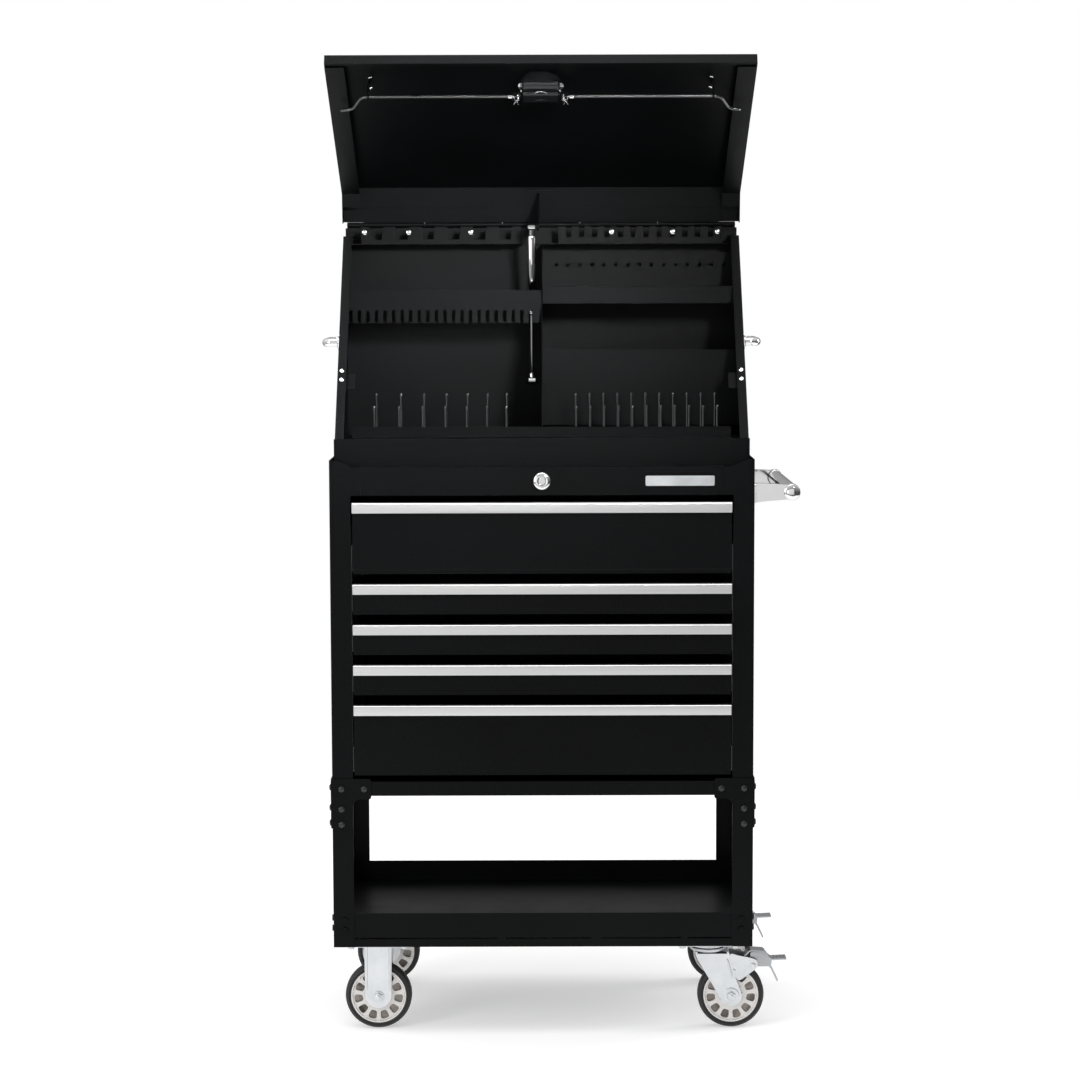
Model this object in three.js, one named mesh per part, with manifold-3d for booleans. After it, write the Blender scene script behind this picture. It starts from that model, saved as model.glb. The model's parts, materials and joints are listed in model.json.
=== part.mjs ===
// Rolling tool chest: a five-drawer cabinet on an open stand with casters, and a slant-front
// toolbox with a lift-up lid on top. Millimetres. +X is the right-hand side, +Y goes to the back
// and +Z is up. Everything is drawn from the cabinet's front plane (y = 0), its middle (x = 0)
// and the floor (z = 0); the last lines stand the finished group on its own bottom centre.
import * as THREE from 'three';
import { mergeVertices } from 'three/addons/utils/BufferGeometryUtils.js';
import Module from 'manifold-3d';

const wasm = await Module();
wasm.setup();

// ---------------------------------------------------------------- driving dimensions
const cabinetWidth = 762;
const cabinetDepth = 450;
const sheet = 1.5;            // thickness of every pressed steel panel
const bend = 2;               // inside radius of the large folded corners
const touch = 0.3;            // gap kept between pieces that touch
const run = 0.4;              // radial clearance of turning and sliding fits

const casterHeight = 163;     // floor to the underside of the stand
const wheelDiameter = 122;
const wheelWidth = 34;
const casterInset = 60;       // caster centre from the front or back face
const casterSide = 303;       // caster centre from the middle
const casterTrail = 42;       // wheel behind the swivel axis
const axleRadius = 5;

const trayFloorHeight = 186;  // top of the lower tray's floor
const trayLipHeight = 226;
const legWidth = 38;
const cabinetBottom = 442.6;
const bottomRailHeight = 25.8;

const drawerModules = [2, 1, 1, 1, 2];  // drawer heights, top to bottom, in modules
const drawerPitch = 73.2;
const fingerGap = 18.6;       // dark gap under each drawer front
const headGap = 13.3;         // gap between the top rail and the first pull
const sillGap = 11.8;         // gap between the last front and the bottom rail
const topRailHeight = 50.9;
const earRise = 12.5;         // corner ears above the top rail
const earReach = 43;          // length of the ears' falling curve
const drawerDepth = 405;
const drawerTravel = 360;
const slideGrip = 40;         // slide length still in the channel with the drawer open
const drawerSheet = 1.2;
const pullHeight = 18.5;
const pullProud = 12;

const boxWidth = 748;         // slant-front toolbox
const boxSetback = 30;        // its front behind the cabinet's front
const boxBack = 385;
const boxHeight = 439;        // cabinet top to the hinge axis
const boxLipHeight = 51;
const lidWidth = 757;
const lidTop = 72;            // short flat panel of the lid
const lidReach = 7.2;         // closed lid's front edge behind the toolbox's front
const lidEdgeRise = 11.8;     // the same edge above the front lip
const lidOpenAngle = 81.7;    // degrees from closed to fully open
const lidDepth = 20;          // depth of the lid's rim
const lidLip = 34;            // return lip along the lid's two sides
const rimDrop = 22;           // box rim below the lid's outer face
const lipStart = 10;          // where the lid's side lips begin, up from its edge

// ---------------------------------------------------------------- worked-out levels and places
const sideX = cabinetWidth / 2;
const openingX = sideX - legWidth;
const drawerStackHeight = drawerModules.reduce((sum, n) => sum + n, 0) * drawerPitch - fingerGap;
const railBottom = cabinetBottom + bottomRailHeight + sillGap + drawerStackHeight + headGap;
const cabinetTop = railBottom + topRailHeight;
const deckTop = cabinetTop - sheet - touch;
const boxFloor = deckTop + touch;
const boxX = boxWidth / 2;
const hinge = { y: boxBack - 2.5, z: boxFloor + boxHeight };
const wheelRadius = wheelDiameter / 2;

// ---------------------------------------------------------------- shape helpers
const degrees = THREE.MathUtils.degToRad;

// Closed triangle mesh -> manifold solid
function solid(geometry) {
  const bare = geometry.clone();
  bare.deleteAttribute('normal');
  bare.deleteAttribute('uv');
  const merged = mergeVertices(bare, 1e-4);
  const vertProperties = new Float32Array(merged.attributes.position.array);
  const triVerts = new Uint32Array(merged.index.array);
  return new wasm.Manifold(new wasm.Mesh({ numProp: 3, vertProperties, triVerts }));
}

function geometryOf(body) {
  const mesh = body.getMesh();
  const geometry = new THREE.BufferGeometry();
  geometry.setAttribute('position', new THREE.BufferAttribute(mesh.vertProperties, 3));
  geometry.setIndex(new THREE.BufferAttribute(mesh.triVerts, 1));
  return geometry;
}

function join(...geometries) {
  return geometryOf(geometries.map(solid).reduce((sum, next) => sum.add(next)));
}

function cut(geometry, ...tools) {
  return geometryOf(tools.map(solid).reduce((rest, tool) => rest.subtract(tool), solid(geometry)));
}

function box(x0, x1, y0, y1, z0, z1) {
  const geometry = new THREE.BoxGeometry(Math.abs(x1 - x0), y1 - y0, z1 - z0);
  return geometry.translate((x0 + x1) / 2, (y0 + y1) / 2, (z0 + z1) / 2);
}

function prism(points, holes, length) {
  const shape = new THREE.Shape(points.map(([u, v]) => new THREE.Vector2(u, v)));
  for (const hole of holes) {
    shape.holes.push(new THREE.Path(hole.map(([u, v]) => new THREE.Vector2(u, v))));
  }
  return new THREE.ExtrudeGeometry(shape, { depth: length, bevelEnabled: false });
}

// Outline in (x, y), drawn up in z
function alongZ(points, z0, z1, holes = []) {
  return prism(points, holes, z1 - z0).translate(0, 0, z0);
}

// Outline in (x, z), drawn back in y
function alongY(points, y0, y1, holes = []) {
  return prism(points, holes, y1 - y0).rotateX(Math.PI / 2).translate(0, y1, 0);
}

// Outline in (y, z), drawn across in x
function alongX(points, x0, x1, holes = []) {
  const low = Math.min(x0, x1);
  const turned = prism(points, holes, Math.abs(x1 - x0)).rotateX(Math.PI / 2).rotateZ(Math.PI / 2);
  return turned.translate(low, 0, 0);
}

// Points of a circle or an arc, angles in degrees
function arc(u, v, radius, from = 0, to = 360, steps = 12) {
  const whole = Math.abs(to - from) === 360;
  const count = whole ? steps : steps + 1;
  return Array.from({ length: count }, (_, i) => {
    const angle = degrees(from + (to - from) * i / steps);
    return [u + radius * Math.cos(angle), v + radius * Math.sin(angle)];
  });
}

// Line moved sideways by a distance, to the right of its direction, with mitred corners
function offsetLine(points, distance) {
  const sides = points.slice(1).map(([u, v], i) => {
    const [a, b] = points[i];
    const length = Math.hypot(u - a, v - b);
    return [(v - b) / length, -(u - a) / length];
  });
  return points.map(([u, v], i) => {
    const before = sides[Math.max(i - 1, 0)];
    const after = sides[Math.min(i, sides.length - 1)];
    const scale = distance / (1 + before[0] * after[0] + before[1] * after[1]);
    return [u + (before[0] + after[0]) * scale, v + (before[1] + after[1]) * scale];
  });
}

// Outline of a folded sheet: the given line is its left-hand face
function folded(points, thickness = sheet) {
  return [...points, ...offsetLine(points, thickness).reverse()];
}

// Same, with the corners of the line rounded first
function foldedRound(points, radius, thickness = sheet) {
  const line = [points[0]];
  for (let i = 1; i < points.length - 1; i += 1) {
    const corner = new THREE.Vector2(...points[i]);
    const inward = new THREE.Vector2(...points[i - 1]).sub(corner).normalize();
    const outward = new THREE.Vector2(...points[i + 1]).sub(corner).normalize();
    const start = corner.clone().addScaledVector(inward, radius);
    const end = corner.clone().addScaledVector(outward, radius);
    const curve = new THREE.QuadraticBezierCurve(start, corner, end);
    line.push(...curve.getPoints(3).map((p) => [p.x, p.y]));
  }
  line.push(points[points.length - 1]);
  return folded(line, thickness);
}

const mirrorX = (points) => points.map(([u, v]) => [-u, v]).reverse();

const finishes = {
  steel: { color: 0x17181b, roughness: 0.55, metalness: 0.3 },
  chrome: { color: 0xd8dade, roughness: 0.15, metalness: 1 },
  zinc: { color: 0xc6cad0, roughness: 0.35, metalness: 1 },
  aluminium: { color: 0xc3c5c9, roughness: 0.3, metalness: 1 },
  wheel: { color: 0xe3e0d8, roughness: 0.5, metalness: 0 },
};

function piece(parent, name, geometry, finish) {
  const mesh = new THREE.Mesh(geometry, new THREE.MeshStandardMaterial(finishes[finish]));
  mesh.name = name;
  parent.add(mesh);
  return mesh;
}

const chest = new THREE.Group();

// ---------------------------------------------------------------- cabinet
const seamX = openingX - 18;  // the posts reach further in beside the top rail

function cabinetShell() {
  const wrap = foldedRound(
    [[-openingX, 0], [-sideX, 0], [-sideX, cabinetDepth], [sideX, cabinetDepth], [sideX, 0], [openingX, 0]],
    bend + sheet,
  );
  const walls = alongZ(wrap, cabinetBottom, cabinetTop + earRise);
  const cheeks = [-1, 1].map((side) => box(
    side * seamX, side * (openingX + legWidth / 2), 0, sheet, railBottom, cabinetTop,
  ));
  const fall = new THREE.QuadraticBezierCurve(
    new THREE.Vector2(-sideX - 1, cabinetTop + earRise),
    new THREE.Vector2(-sideX + earReach / 2, cabinetTop + earRise),
    new THREE.Vector2(-sideX + earReach, cabinetTop),
  ).getPoints(6).map((p) => [p.x, p.y]);
  const above = [...fall, [-seamX + 1, cabinetTop], [-seamX + 1, cabinetTop + 2 * earRise],
    [-sideX - 1, cabinetTop + 2 * earRise]];
  const front = sheet + touch;
  return cut(
    join(walls, ...cheeks),
    alongY(above, -1, front),
    alongY(mirrorX(above), -1, front),
  );
}

const railReturn = 22;        // the top rail folds back this far
const lockHeight = railBottom + topRailHeight / 2;
const lockBezel = 15.9;
const lockBarrel = 9.5;
const lockPlug = 6.5;
const bezelProud = 4;
const keywayHeight = 9;

function topRail() {
  const profile = folded([
    [railReturn, railBottom], [0, railBottom], [0, cabinetTop], [railReturn, cabinetTop],
  ]);
  const half = seamX - touch;
  return cut(
    alongX(profile, -half, half),
    alongY(arc(0, lockHeight, lockBarrel + touch), -1, sheet + 1),
  );
}

function cabinetDeck() {
  const half = sideX - sheet - touch;
  const front = sheet + touch;
  const back = cabinetDepth - sheet - touch;
  const flange = 10;
  const profile = folded([
    [front, deckTop - flange], [front, deckTop], [back, deckTop], [back, deckTop - flange],
  ]);
  return cut(alongX(profile, -half, half), ...bendRelief(deckTop - flange, deckTop));
}

// Notches that keep a flat sheet clear of the shell's rounded corners
function bendRelief(z0, z1) {
  const half = sideX - sheet;
  const size = bend + 1;
  const ends = [[0, sheet + size], [cabinetDepth - sheet - size, cabinetDepth]];
  return [-1, 1].flatMap((side) => ends.map(([y0, y1]) => box(
    side * (half - size), side * (half + 1), y0, y1, z0 - 1, z1 + 1,
  )));
}

function cabinetFloor() {
  const half = sideX - sheet - touch;
  const front = sheet + touch;
  const back = cabinetDepth - sheet - touch;
  const railTop = cabinetBottom + bottomRailHeight;
  const rail = folded([
    [front + 16, cabinetBottom], [0, cabinetBottom], [0, railTop], [front + 16, railTop],
  ]);
  const pan = box(-half, half, front, back, cabinetBottom, cabinetBottom + sheet);
  return join(
    alongX(rail, -openingX + touch, openingX - touch),
    cut(pan, ...bendRelief(cabinetBottom, cabinetBottom + sheet)),
  );
}

// ---------------------------------------------------------------- lock in the top rail
function lockBody() {
  const bezel = alongY(arc(0, lockHeight, lockBezel, 0, 360, 24), -bezelProud, -touch);
  const barrel = alongY(arc(0, lockHeight, lockBarrel), -bezelProud / 2, railReturn - 2);
  const bore = arc(0, lockHeight, lockPlug + run, 0, 360, 16);
  return cut(join(bezel, barrel), alongY(bore, -bezelProud - 1, railReturn - 5));
}

function lockPlugBody() {
  const face = -bezelProud - 0.6;
  const half = keywayHeight / 2;
  const keyway = box(-1, 1, face - 1, 1, lockHeight - half, lockHeight + half);
  return cut(alongY(arc(0, lockHeight, lockPlug, 0, 360, 16), face, railReturn - 5 - touch), keyway);
}

// ---------------------------------------------------------------- drawers and their slides
const slideHeight = 45;
const slideLength = drawerTravel + slideGrip;
const slideFront = 8;
const channelWeb = openingX - touch;      // outside face of the fixed channel
const slideThickness = 12.7;
const drawerX = channelWeb - slideThickness;
const memberHeight = 34;

const drawers = drawerModules.map((modules, i) => {
  const above = drawerModules.slice(0, i).reduce((sum, n) => sum + n, 0);
  const top = railBottom - headGap - above * drawerPitch;
  const bottom = top - modules * drawerPitch + fingerGap;
  return { name: `drawer_${i + 1}`, top, bottom, slide: bottom + 6 + slideHeight / 2 };
});

// C-shaped channel lying on its side, its mouth towards the middle
function channel(side, outer, inner, middle, height, thickness, y0, y1) {
  const half = height / 2;
  const profile = [[side * inner, middle - half], [side * outer, middle - half],
    [side * outer, middle + half], [side * inner, middle + half]];
  const line = side < 0 ? profile : profile.reverse();
  return alongY(folded(line, thickness), y0, y1);
}

function slideRails(side) {
  const post = 32;
  const wall = sideX - sheet - touch;
  const lowest = drawers[drawers.length - 1].slide - slideHeight / 2;
  const highest = drawers[0].slide + slideHeight / 2;
  const posts = [slideFront + 6, slideFront + slideLength - post - 6].map((y) => {
    const plan = [[side * wall, y], [side * channelWeb, y],
      [side * channelWeb, y + post], [side * wall, y + post]];
    const line = side < 0 ? plan.reverse() : plan;
    return alongZ(folded(line), lowest, highest);
  });
  const channels = drawers.map(({ slide }) => channel(
    side, channelWeb, drawerX + 2, slide, slideHeight, 1.2, slideFront, slideFront + slideLength,
  ));
  return join(...posts, ...channels);
}

function drawerBox({ top, bottom, slide }) {
  const face = openingX - 3;              // front panel half width
  const hem = 12;
  const front = alongX(folded([
    [hem, bottom], [0, bottom], [0, top], [hem, top],
  ], drawerSheet), -face, face);
  const floor = bottom + 6;
  const rim = top - 14;
  const shell = box(-drawerX, drawerX, drawerSheet / 2, drawerDepth, floor, rim);
  const inside = box(-drawerX + drawerSheet, drawerX - drawerSheet, drawerSheet,
    drawerDepth - drawerSheet, floor + drawerSheet, top);
  const members = [-1, 1].map((side) => channel(
    side, drawerX - 0.1, channelWeb - 1.2 - run, slide, memberHeight, 1.2, slideFront, drawerDepth,
  ));
  const backs = [-1, 1].map((side) => box(
    side * (drawerX - 0.6), side * (drawerX + 1.1), slideFront, drawerDepth,
    slide - memberHeight / 2, slide + memberHeight / 2,
  ));
  return cut(join(front, shell, ...members, ...backs), inside);
}

function drawerPull({ top }) {
  const back = -touch;
  const wall = 1.6;
  const lip = [
    [back, top - pullHeight], [back, top], [-pullProud + 3, top], [-pullProud, top - 3],
    [-pullProud + 1, top - pullHeight + 1.5],
  ];
  const half = openingX - 3;
  return alongX(folded(lip.reverse(), wall), -half, half);
}

// ---------------------------------------------------------------- stand
const bracketSheet = 2;
const bracketArm = 31.4;      // top band of the corner bracket, below the cabinet's opening
const bracketTop = cabinetBottom + bracketArm;
const bracketBottom = cabinetBottom - 60;
const bracketReach = sideX - 308;

function boltAlongY(x, y, z, direction) {
  const outer = y + direction * 4;
  return alongY(arc(x, z, 6, 0, 360, 6), Math.min(y, outer), Math.max(y, outer));
}

function boltAlongX(x, y, z, direction) {
  return alongX(arc(y, z, 6, 0, 360, 6), x, x + direction * 4);
}

// Corner pieces are drawn for the front-left corner and turned to the others
function toCorner(geometry, side, end) {
  const flips = new THREE.Matrix4().makeScale(side < 0 ? 1 : -1, end < 0 ? 1 : -1, 1);
  const placed = geometry.clone().applyMatrix4(flips);
  if (end > 0) placed.translate(0, cabinetDepth, 0);
  if (side * end > 0) return placed;
  const index = placed.index.array;
  for (let i = 0; i < index.length; i += 3) {
    [index[i], index[i + 1]] = [index[i + 1], index[i]];
  }
  return placed;
}

function leg() {
  const angle = foldedRound([[-openingX, 0], [-sideX, 0], [-sideX, legWidth]], bend);
  const low = casterHeight + touch;
  const bolts = [32, 51].map((rise) => boltAlongY(-sideX + 21, 0.5, casterHeight + rise, -1));
  const sideBolts = [32, 51].map((rise) => boltAlongX(-sideX + 0.5, 21, casterHeight + rise, -1));
  return join(alongZ(angle, low, cabinetBottom - touch), ...bolts, ...sideBolts);
}

function cornerBracket() {
  const out = touch + bracketSheet;
  const outline = (edge) => [
    [edge, bracketBottom], [edge + legWidth + out, bracketBottom],
    [edge + legWidth + out, cabinetBottom - 14], [edge + legWidth + out + 8, cabinetBottom - 6],
    [edge + bracketReach, cabinetBottom - 6], [edge + bracketReach, bracketTop], [edge, bracketTop],
  ];
  const front = alongY(outline(-sideX - out), -out, -touch);
  const flank = alongX(outline(-out), -sideX - out, -sideX - touch);
  const boltPlaces = [[17, 13], [58, 13], [17, -24], [17, -52]];
  const bolts = boltPlaces.flatMap(([across, rise]) => [
    boltAlongY(-sideX + across, -out + 0.5, cabinetBottom + rise, -1),
    boltAlongX(-sideX - out + 0.5, across, cabinetBottom + rise, -1),
  ]);
  return join(front, flank, ...bolts);
}

const trayMounting = 105;     // width of the two caster flanges
const traySlit = { rise: 14.5, height: 3 };               // dark slit along the front lip
const trayTabs = [[-75.5, 15], [96, 18], [257.5, 11]];    // places and widths of what breaks it

function lowerTray() {
  const half = sideX - sheet - touch;
  const front = sheet + touch;
  const back = cabinetDepth - front;
  const low = casterHeight + touch;
  const walls = cut(
    box(-half, half, front, back, low, trayLipHeight),
    box(-half + sheet, half - sheet, front + sheet, back - sheet, low - 1, trayLipHeight + 1),
  );
  const floor = box(
    -half + 0.5, half - 0.5, front + 0.5, back - 0.5, trayFloorHeight - sheet, trayFloorHeight,
  );
  const flanges = [[front + 0.5, front + trayMounting], [back - trayMounting, back - 0.5]]
    .map(([y0, y1]) => box(-half + 0.5, half - 0.5, y0, y1, low, low + sheet));
  const starts = [-openingX, ...trayTabs.map(([x, wide]) => x + wide / 2)];
  const ends = [...trayTabs.map(([x, wide]) => x - wide / 2), openingX];
  const slitFoot = casterHeight + traySlit.rise;
  const slits = starts.map((x, i) => box(
    x, ends[i], front - 1, front + sheet + 1, slitFoot, slitFoot + traySlit.height,
  ));
  return cut(join(walls, floor, ...flanges), ...slits);
}

// ---------------------------------------------------------------- casters
const plateThickness = 4;
const plateX = 117;
const plateY = 90;
const forkSheet = 3;
const forkGap = wheelWidth / 2 + 2;       // wheel middle to the cheek's inside

// A wheel standing on the floor, its axle along Y
function wheelBody() {
  const half = wheelWidth / 2;
  const rim = wheelRadius * 0.82;
  const profile = [
    [axleRadius + run, -half], [14, -half], [16, -half + 5], [rim - 6, -half + 5],
    [rim, -half + 2], [wheelRadius - 5, -half + 2], [wheelRadius, -half / 3],
    [wheelRadius, half / 3], [wheelRadius - 5, half - 2], [rim, half - 2],
    [rim - 6, half - 5], [16, half - 5], [14, half], [axleRadius + run, half],
  ];
  const points = [...profile, profile[0]].map(([r, h]) => new THREE.Vector2(r, h));
  return new THREE.LatheGeometry(points, 24);
}

function axle(x) {
  const outer = forkGap + forkSheet;
  const shaft = alongY(arc(x, wheelRadius, axleRadius), -outer - 3, outer + 3);
  const heads = [-1, 1].map((end) => alongY(
    arc(x, wheelRadius, 9, 0, 360, 6), Math.min(end * outer, end * (outer + 6)) - 0.1,
    Math.max(end * outer, end * (outer + 6)) + 0.1,
  ));
  return [shaft, ...heads];
}

function casterPlate() {
  return box(-plateX / 2, plateX / 2, -plateY / 2, plateY / 2,
    casterHeight - plateThickness, casterHeight - touch);
}

function rigidFork() {
  const half = 25;
  const outline = [[half, casterHeight - plateThickness + 0.5], [-half, casterHeight - plateThickness + 0.5],
    ...arc(0, wheelRadius, 21, 180, 360, 8)];
  const cheeks = [-1, 1].map((end) => alongY(
    outline, Math.min(end * forkGap, end * (forkGap + forkSheet)),
    Math.max(end * forkGap, end * (forkGap + forkSheet)),
  ));
  return join(casterPlate(), ...cheeks, ...axle(0));
}

const raceHeight = 8;
const kingpinRadius = 6;
const forkTop = casterHeight - plateThickness - raceHeight - touch;

function disc(x, y, radius, z0, z1, steps = 20) {
  return alongZ(arc(x, y, radius, 0, 360, steps), z0, z1);
}

function swivelPlate() {
  return join(
    casterPlate(),
    disc(0, 0, 31, casterHeight - plateThickness - raceHeight, casterHeight - plateThickness + 0.5),
    disc(0, 0, kingpinRadius, forkTop - 20, casterHeight - plateThickness, 12),
    disc(0, 0, 11, forkTop - 21, forkTop - 13, 6),
  );
}

// The wheel trails to the right of the swivel axis
const brakePivot = { x: casterTrail + 40, z: 118 };
const pedalHalf = 15;

function swivelFork() {
  const top = forkTop;
  const race = cut(disc(0, 0, 34, top - 8, top), disc(0, 0, kingpinRadius + run, top - 9, top + 1, 12));
  const crown = cut(
    box(-28, 40, -forkGap - forkSheet, forkGap + forkSheet, top - 11, top - 7.5),
    disc(0, 0, kingpinRadius + run, top - 12, top, 12),
  );
  const outline = [
    [-28, top - 7.5], ...arc(casterTrail, wheelRadius, 20, 200, 360, 8),
    [casterTrail + 24, 92], [brakePivot.x + 8, brakePivot.z - 10], [brakePivot.x + 8, brakePivot.z + 8],
    [casterTrail + 12, top - 20], [casterTrail + 2, top - 24], [40, top - 7.5],
  ];
  const cheeks = [-1, 1].map((end) => alongY(
    outline, Math.min(end * forkGap, end * (forkGap + forkSheet)),
    Math.max(end * forkGap, end * (forkGap + forkSheet)),
  ));
  const pin = alongY(arc(brakePivot.x, brakePivot.z, 3.5, 0, 360, 10), -forkGap - 1, forkGap + 1);
  return join(race, crown, ...cheeks, pin, ...axle(casterTrail));
}

function brakePedal() {
  const { x, z } = brakePivot;
  const treadle = folded([
    [x - 16, z + 16], [x - 6, z + 27], [x + 22, z + 25], [x + 32, z + 10], [x + 64, z + 11],
  ], 3);
  const release = folded([[x + 24, z + 8], [x + 36, z - 8], [x + 48, z - 32]], 3);
  const collar = alongY(arc(x, z, 8, 0, 360, 12), -pedalHalf, pedalHalf);
  const web = alongY([[x + 5, z - 4], [x + 34, z - 4], [x + 34, z + 9], [x + 20, z + 23], [x - 3, z + 23],
    [x - 5, z + 4]], -1.5, 1.5);
  const bore = alongY(arc(x, z, 3.5 + run, 0, 360, 10), -pedalHalf - 1, pedalHalf + 1);
  return cut(join(
    alongY(treadle, -pedalHalf, pedalHalf), alongY(release, -pedalHalf, pedalHalf), collar, web,
  ), bore);
}

// ---------------------------------------------------------------- toolbox
const ledgeTop = boxFloor + boxLipHeight;
const lidEdge = [boxSetback + lidReach, ledgeTop + lidEdgeRise];
const foldPoint = [hinge.y - lidTop, hinge.z];
const slant = Math.atan2(foldPoint[0] - lidEdge[0], foldPoint[1] - lidEdge[1]);
const upSlant = [Math.sin(slant), Math.cos(slant)];     // along the closed lid, towards its fold
const inSlant = [Math.cos(slant), -Math.sin(slant)];    // square to it, into the box

// Point at a distance up the slant from the lid's edge and a depth below its outer face
function underLid(up, depth) {
  return [
    lidEdge[0] + up * upSlant[0] + depth * inSlant[0],
    lidEdge[1] + up * upSlant[1] + depth * inSlant[1],
  ];
}

// The same, found by its height
function underLidAt(z, depth) {
  const [, start] = underLid(0, depth);
  return underLid((z - start) / upSlant[1], depth);
}

const boxInnerX = boxX - sheet;
const stripFront = underLid(lipStart, lidDepth + sheet)[0] + 2;
const stripTop = ledgeTop + 19;
const rimTop = hinge.z - rimDrop;
const rimFlange = 16;
const wallInside = boxBack - sheet;
const rackBack = wallInside - touch;

function toolboxBase() {
  const half = boxInnerX - touch;
  const between = Math.min(boxX - rimFlange - touch, lidWidth / 2 - lidLip - 2);
  const ledge = alongX(folded([
    [boxSetback, boxFloor], [boxSetback, ledgeTop], [stripFront, ledgeTop], [stripFront, stripTop],
  ]), -between, between);
  const lip = box(-boxX, boxX, boxSetback, boxSetback + sheet, boxFloor, ledgeTop - sheet / 2);
  const floor = box(-half, half, boxSetback + 0.5, rackBack, boxFloor, boxFloor + sheet);
  return join(ledge, lip, floor);
}

const catchAt = 135;          // strike height up the slant
const strikeDepth = 38;

function toolboxSide(side) {
  const front = boxSetback + sheet + touch;
  const low = boxFloor + sheet + touch;
  const start = underLidAt(ledgeTop - sheet - touch, rimDrop);
  const peak = underLidAt(rimTop, rimDrop);
  const outline = [
    [front, low], [rackBack, low], [rackBack, rimTop], peak, start, [front, start[1]],
  ];
  const plate = alongX(outline, side * boxInnerX, side * boxX);
  const flange = alongX(folded([start, peak, [rackBack, rimTop]]), side * (boxX - rimFlange), side * (boxX - 0.5));
  const strike = alongX([
    underLid(catchAt - 17, strikeDepth), underLid(catchAt + 17, strikeDepth),
    underLid(catchAt + 17, strikeDepth + 2), underLid(catchAt - 17, strikeDepth + 2),
  ], side * (boxX - 31), side * (boxInnerX + 0.5));
  const strikeWeb = alongX([
    underLid(catchAt - 17, rimDrop + 1), underLid(catchAt + 17, rimDrop + 1),
    underLid(catchAt + 17, strikeDepth + 1), underLid(catchAt - 17, strikeDepth + 1),
  ], side * (boxInnerX - 2), side * (boxInnerX + 0.5));
  return join(plate, flange, strike, strikeWeb);
}

const backTop = hinge.z - 6;
const knuckle = 4.3;
const hingePin = 2.2;

function toolboxBack() {
  return box(-boxX, boxX, wallInside, boxBack, boxFloor + touch, backTop);
}

// ---------------------------------------------------------------- gas strut between divider and lid
const strutX = -18;
const strutFoot = { y: boxBack - 55, z: boxFloor + 143 };
const strutEye = { along: 8.5, depth: 100 };    // lid pivot, measured on the short panel
const openTurn = degrees(lidOpenAngle);
const shortUp = [-Math.cos(openTurn), Math.sin(openTurn)];     // along the short panel, open
const shortIn = [-Math.sin(openTurn), -Math.cos(openTurn)];    // square to it, inside, open
const strutHead = {
  y: hinge.y + strutEye.along * shortUp[0] + strutEye.depth * shortIn[0],
  z: hinge.z + strutEye.along * shortUp[1] + strutEye.depth * shortIn[1],
};
const strutOpen = Math.hypot(strutHead.y - strutFoot.y, strutHead.z - strutFoot.z);
const strutClosed = Math.hypot(
  hinge.y - strutEye.along - strutFoot.y, hinge.z - strutEye.depth - strutFoot.z,
);
const strutRod = 4;
const strutTube = 7.5;
const eyeBore = 4.4;
const headFitting = 12;
const tubeLength = strutClosed - headFitting - 38;
const rodLength = strutOpen - headFitting - tubeLength + 18;

// Drawn up the local z axis from the foot pivot at the origin
function strutRodBody() {
  const eye = cut(
    alongX(arc(0, 0, strutTube), -7, 7),
    alongX(arc(0, 0, eyeBore), -8, 8),
  );
  return join(eye, disc(0, 0, strutRod, eyeBore + 1.5, rodLength, 12));
}

function strutTubeBody() {
  const top = strutOpen - headFitting;
  const bore = disc(0, 0, strutRod + run, top - tubeLength - 1, rodLength + strutOpen - strutClosed + 4, 12);
  const head = join(
    alongX(arc(0, strutOpen, 7, 0, 360, 12), -7, 7),
    disc(0, 0, 5, top - 1, strutOpen - 3, 12),
  );
  return join(cut(disc(0, 0, strutTube, top - tubeLength, top, 16), bore), head);
}

// ---------------------------------------------------------------- inside fittings
const dividerX = 0.5;
const dividerDepth = 48;      // divider's front edge below the lid's outer face
const pegDeckTop = boxFloor + 48;
const topRackZ = boxFloor + 403;

function centreDivider() {
  const low = pegDeckTop + touch + 0.4;
  const high = topRackZ - sheet - touch;
  const outline = [underLidAt(low, dividerDepth), [rackBack, low], [rackBack, high], underLidAt(high, dividerDepth)];
  const plate = alongX(outline, dividerX, dividerX + sheet);
  const flange = box(dividerX - 6, dividerX + 0.5, rackBack - sheet, rackBack, low, high);
  const stud = alongX(arc(strutFoot.y, strutFoot.z, eyeBore - run), strutX - 9, dividerX + 0.5);
  const head = alongX(arc(strutFoot.y, strutFoot.z, strutTube - 1), strutX - 10, strutX - 7.5);
  return join(plate, flange, stud, head);
}

function topRack() {
  const half = boxInnerX - 9;
  const upright = box(-half + 25, half - 25, rackBack - sheet, rackBack, topRackZ, topRackZ + 30);
  const shelf = box(-half, half, rackBack - 42, rackBack, topRackZ - sheet, topRackZ + 0.1);
  const notches = [];
  for (let x = -half + 22; x < -50; x += 46) {
    notches.push(box(x, x + 22, rackBack - 43, rackBack - 24, topRackZ - 3, topRackZ + 3));
  }
  for (let x = 60; x < half - 10; x += 23) {
    notches.push(box(x, x + 10, rackBack - 43, rackBack - 24, topRackZ - 3, topRackZ + 3));
  }
  const strutWay = box(strutX - 16, dividerX + sheet + 8, rackBack - 43, rackBack - 6, topRackZ - 3, topRackZ + 3);
  return cut(join(upright, shelf), strutWay, ...notches);
}

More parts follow.
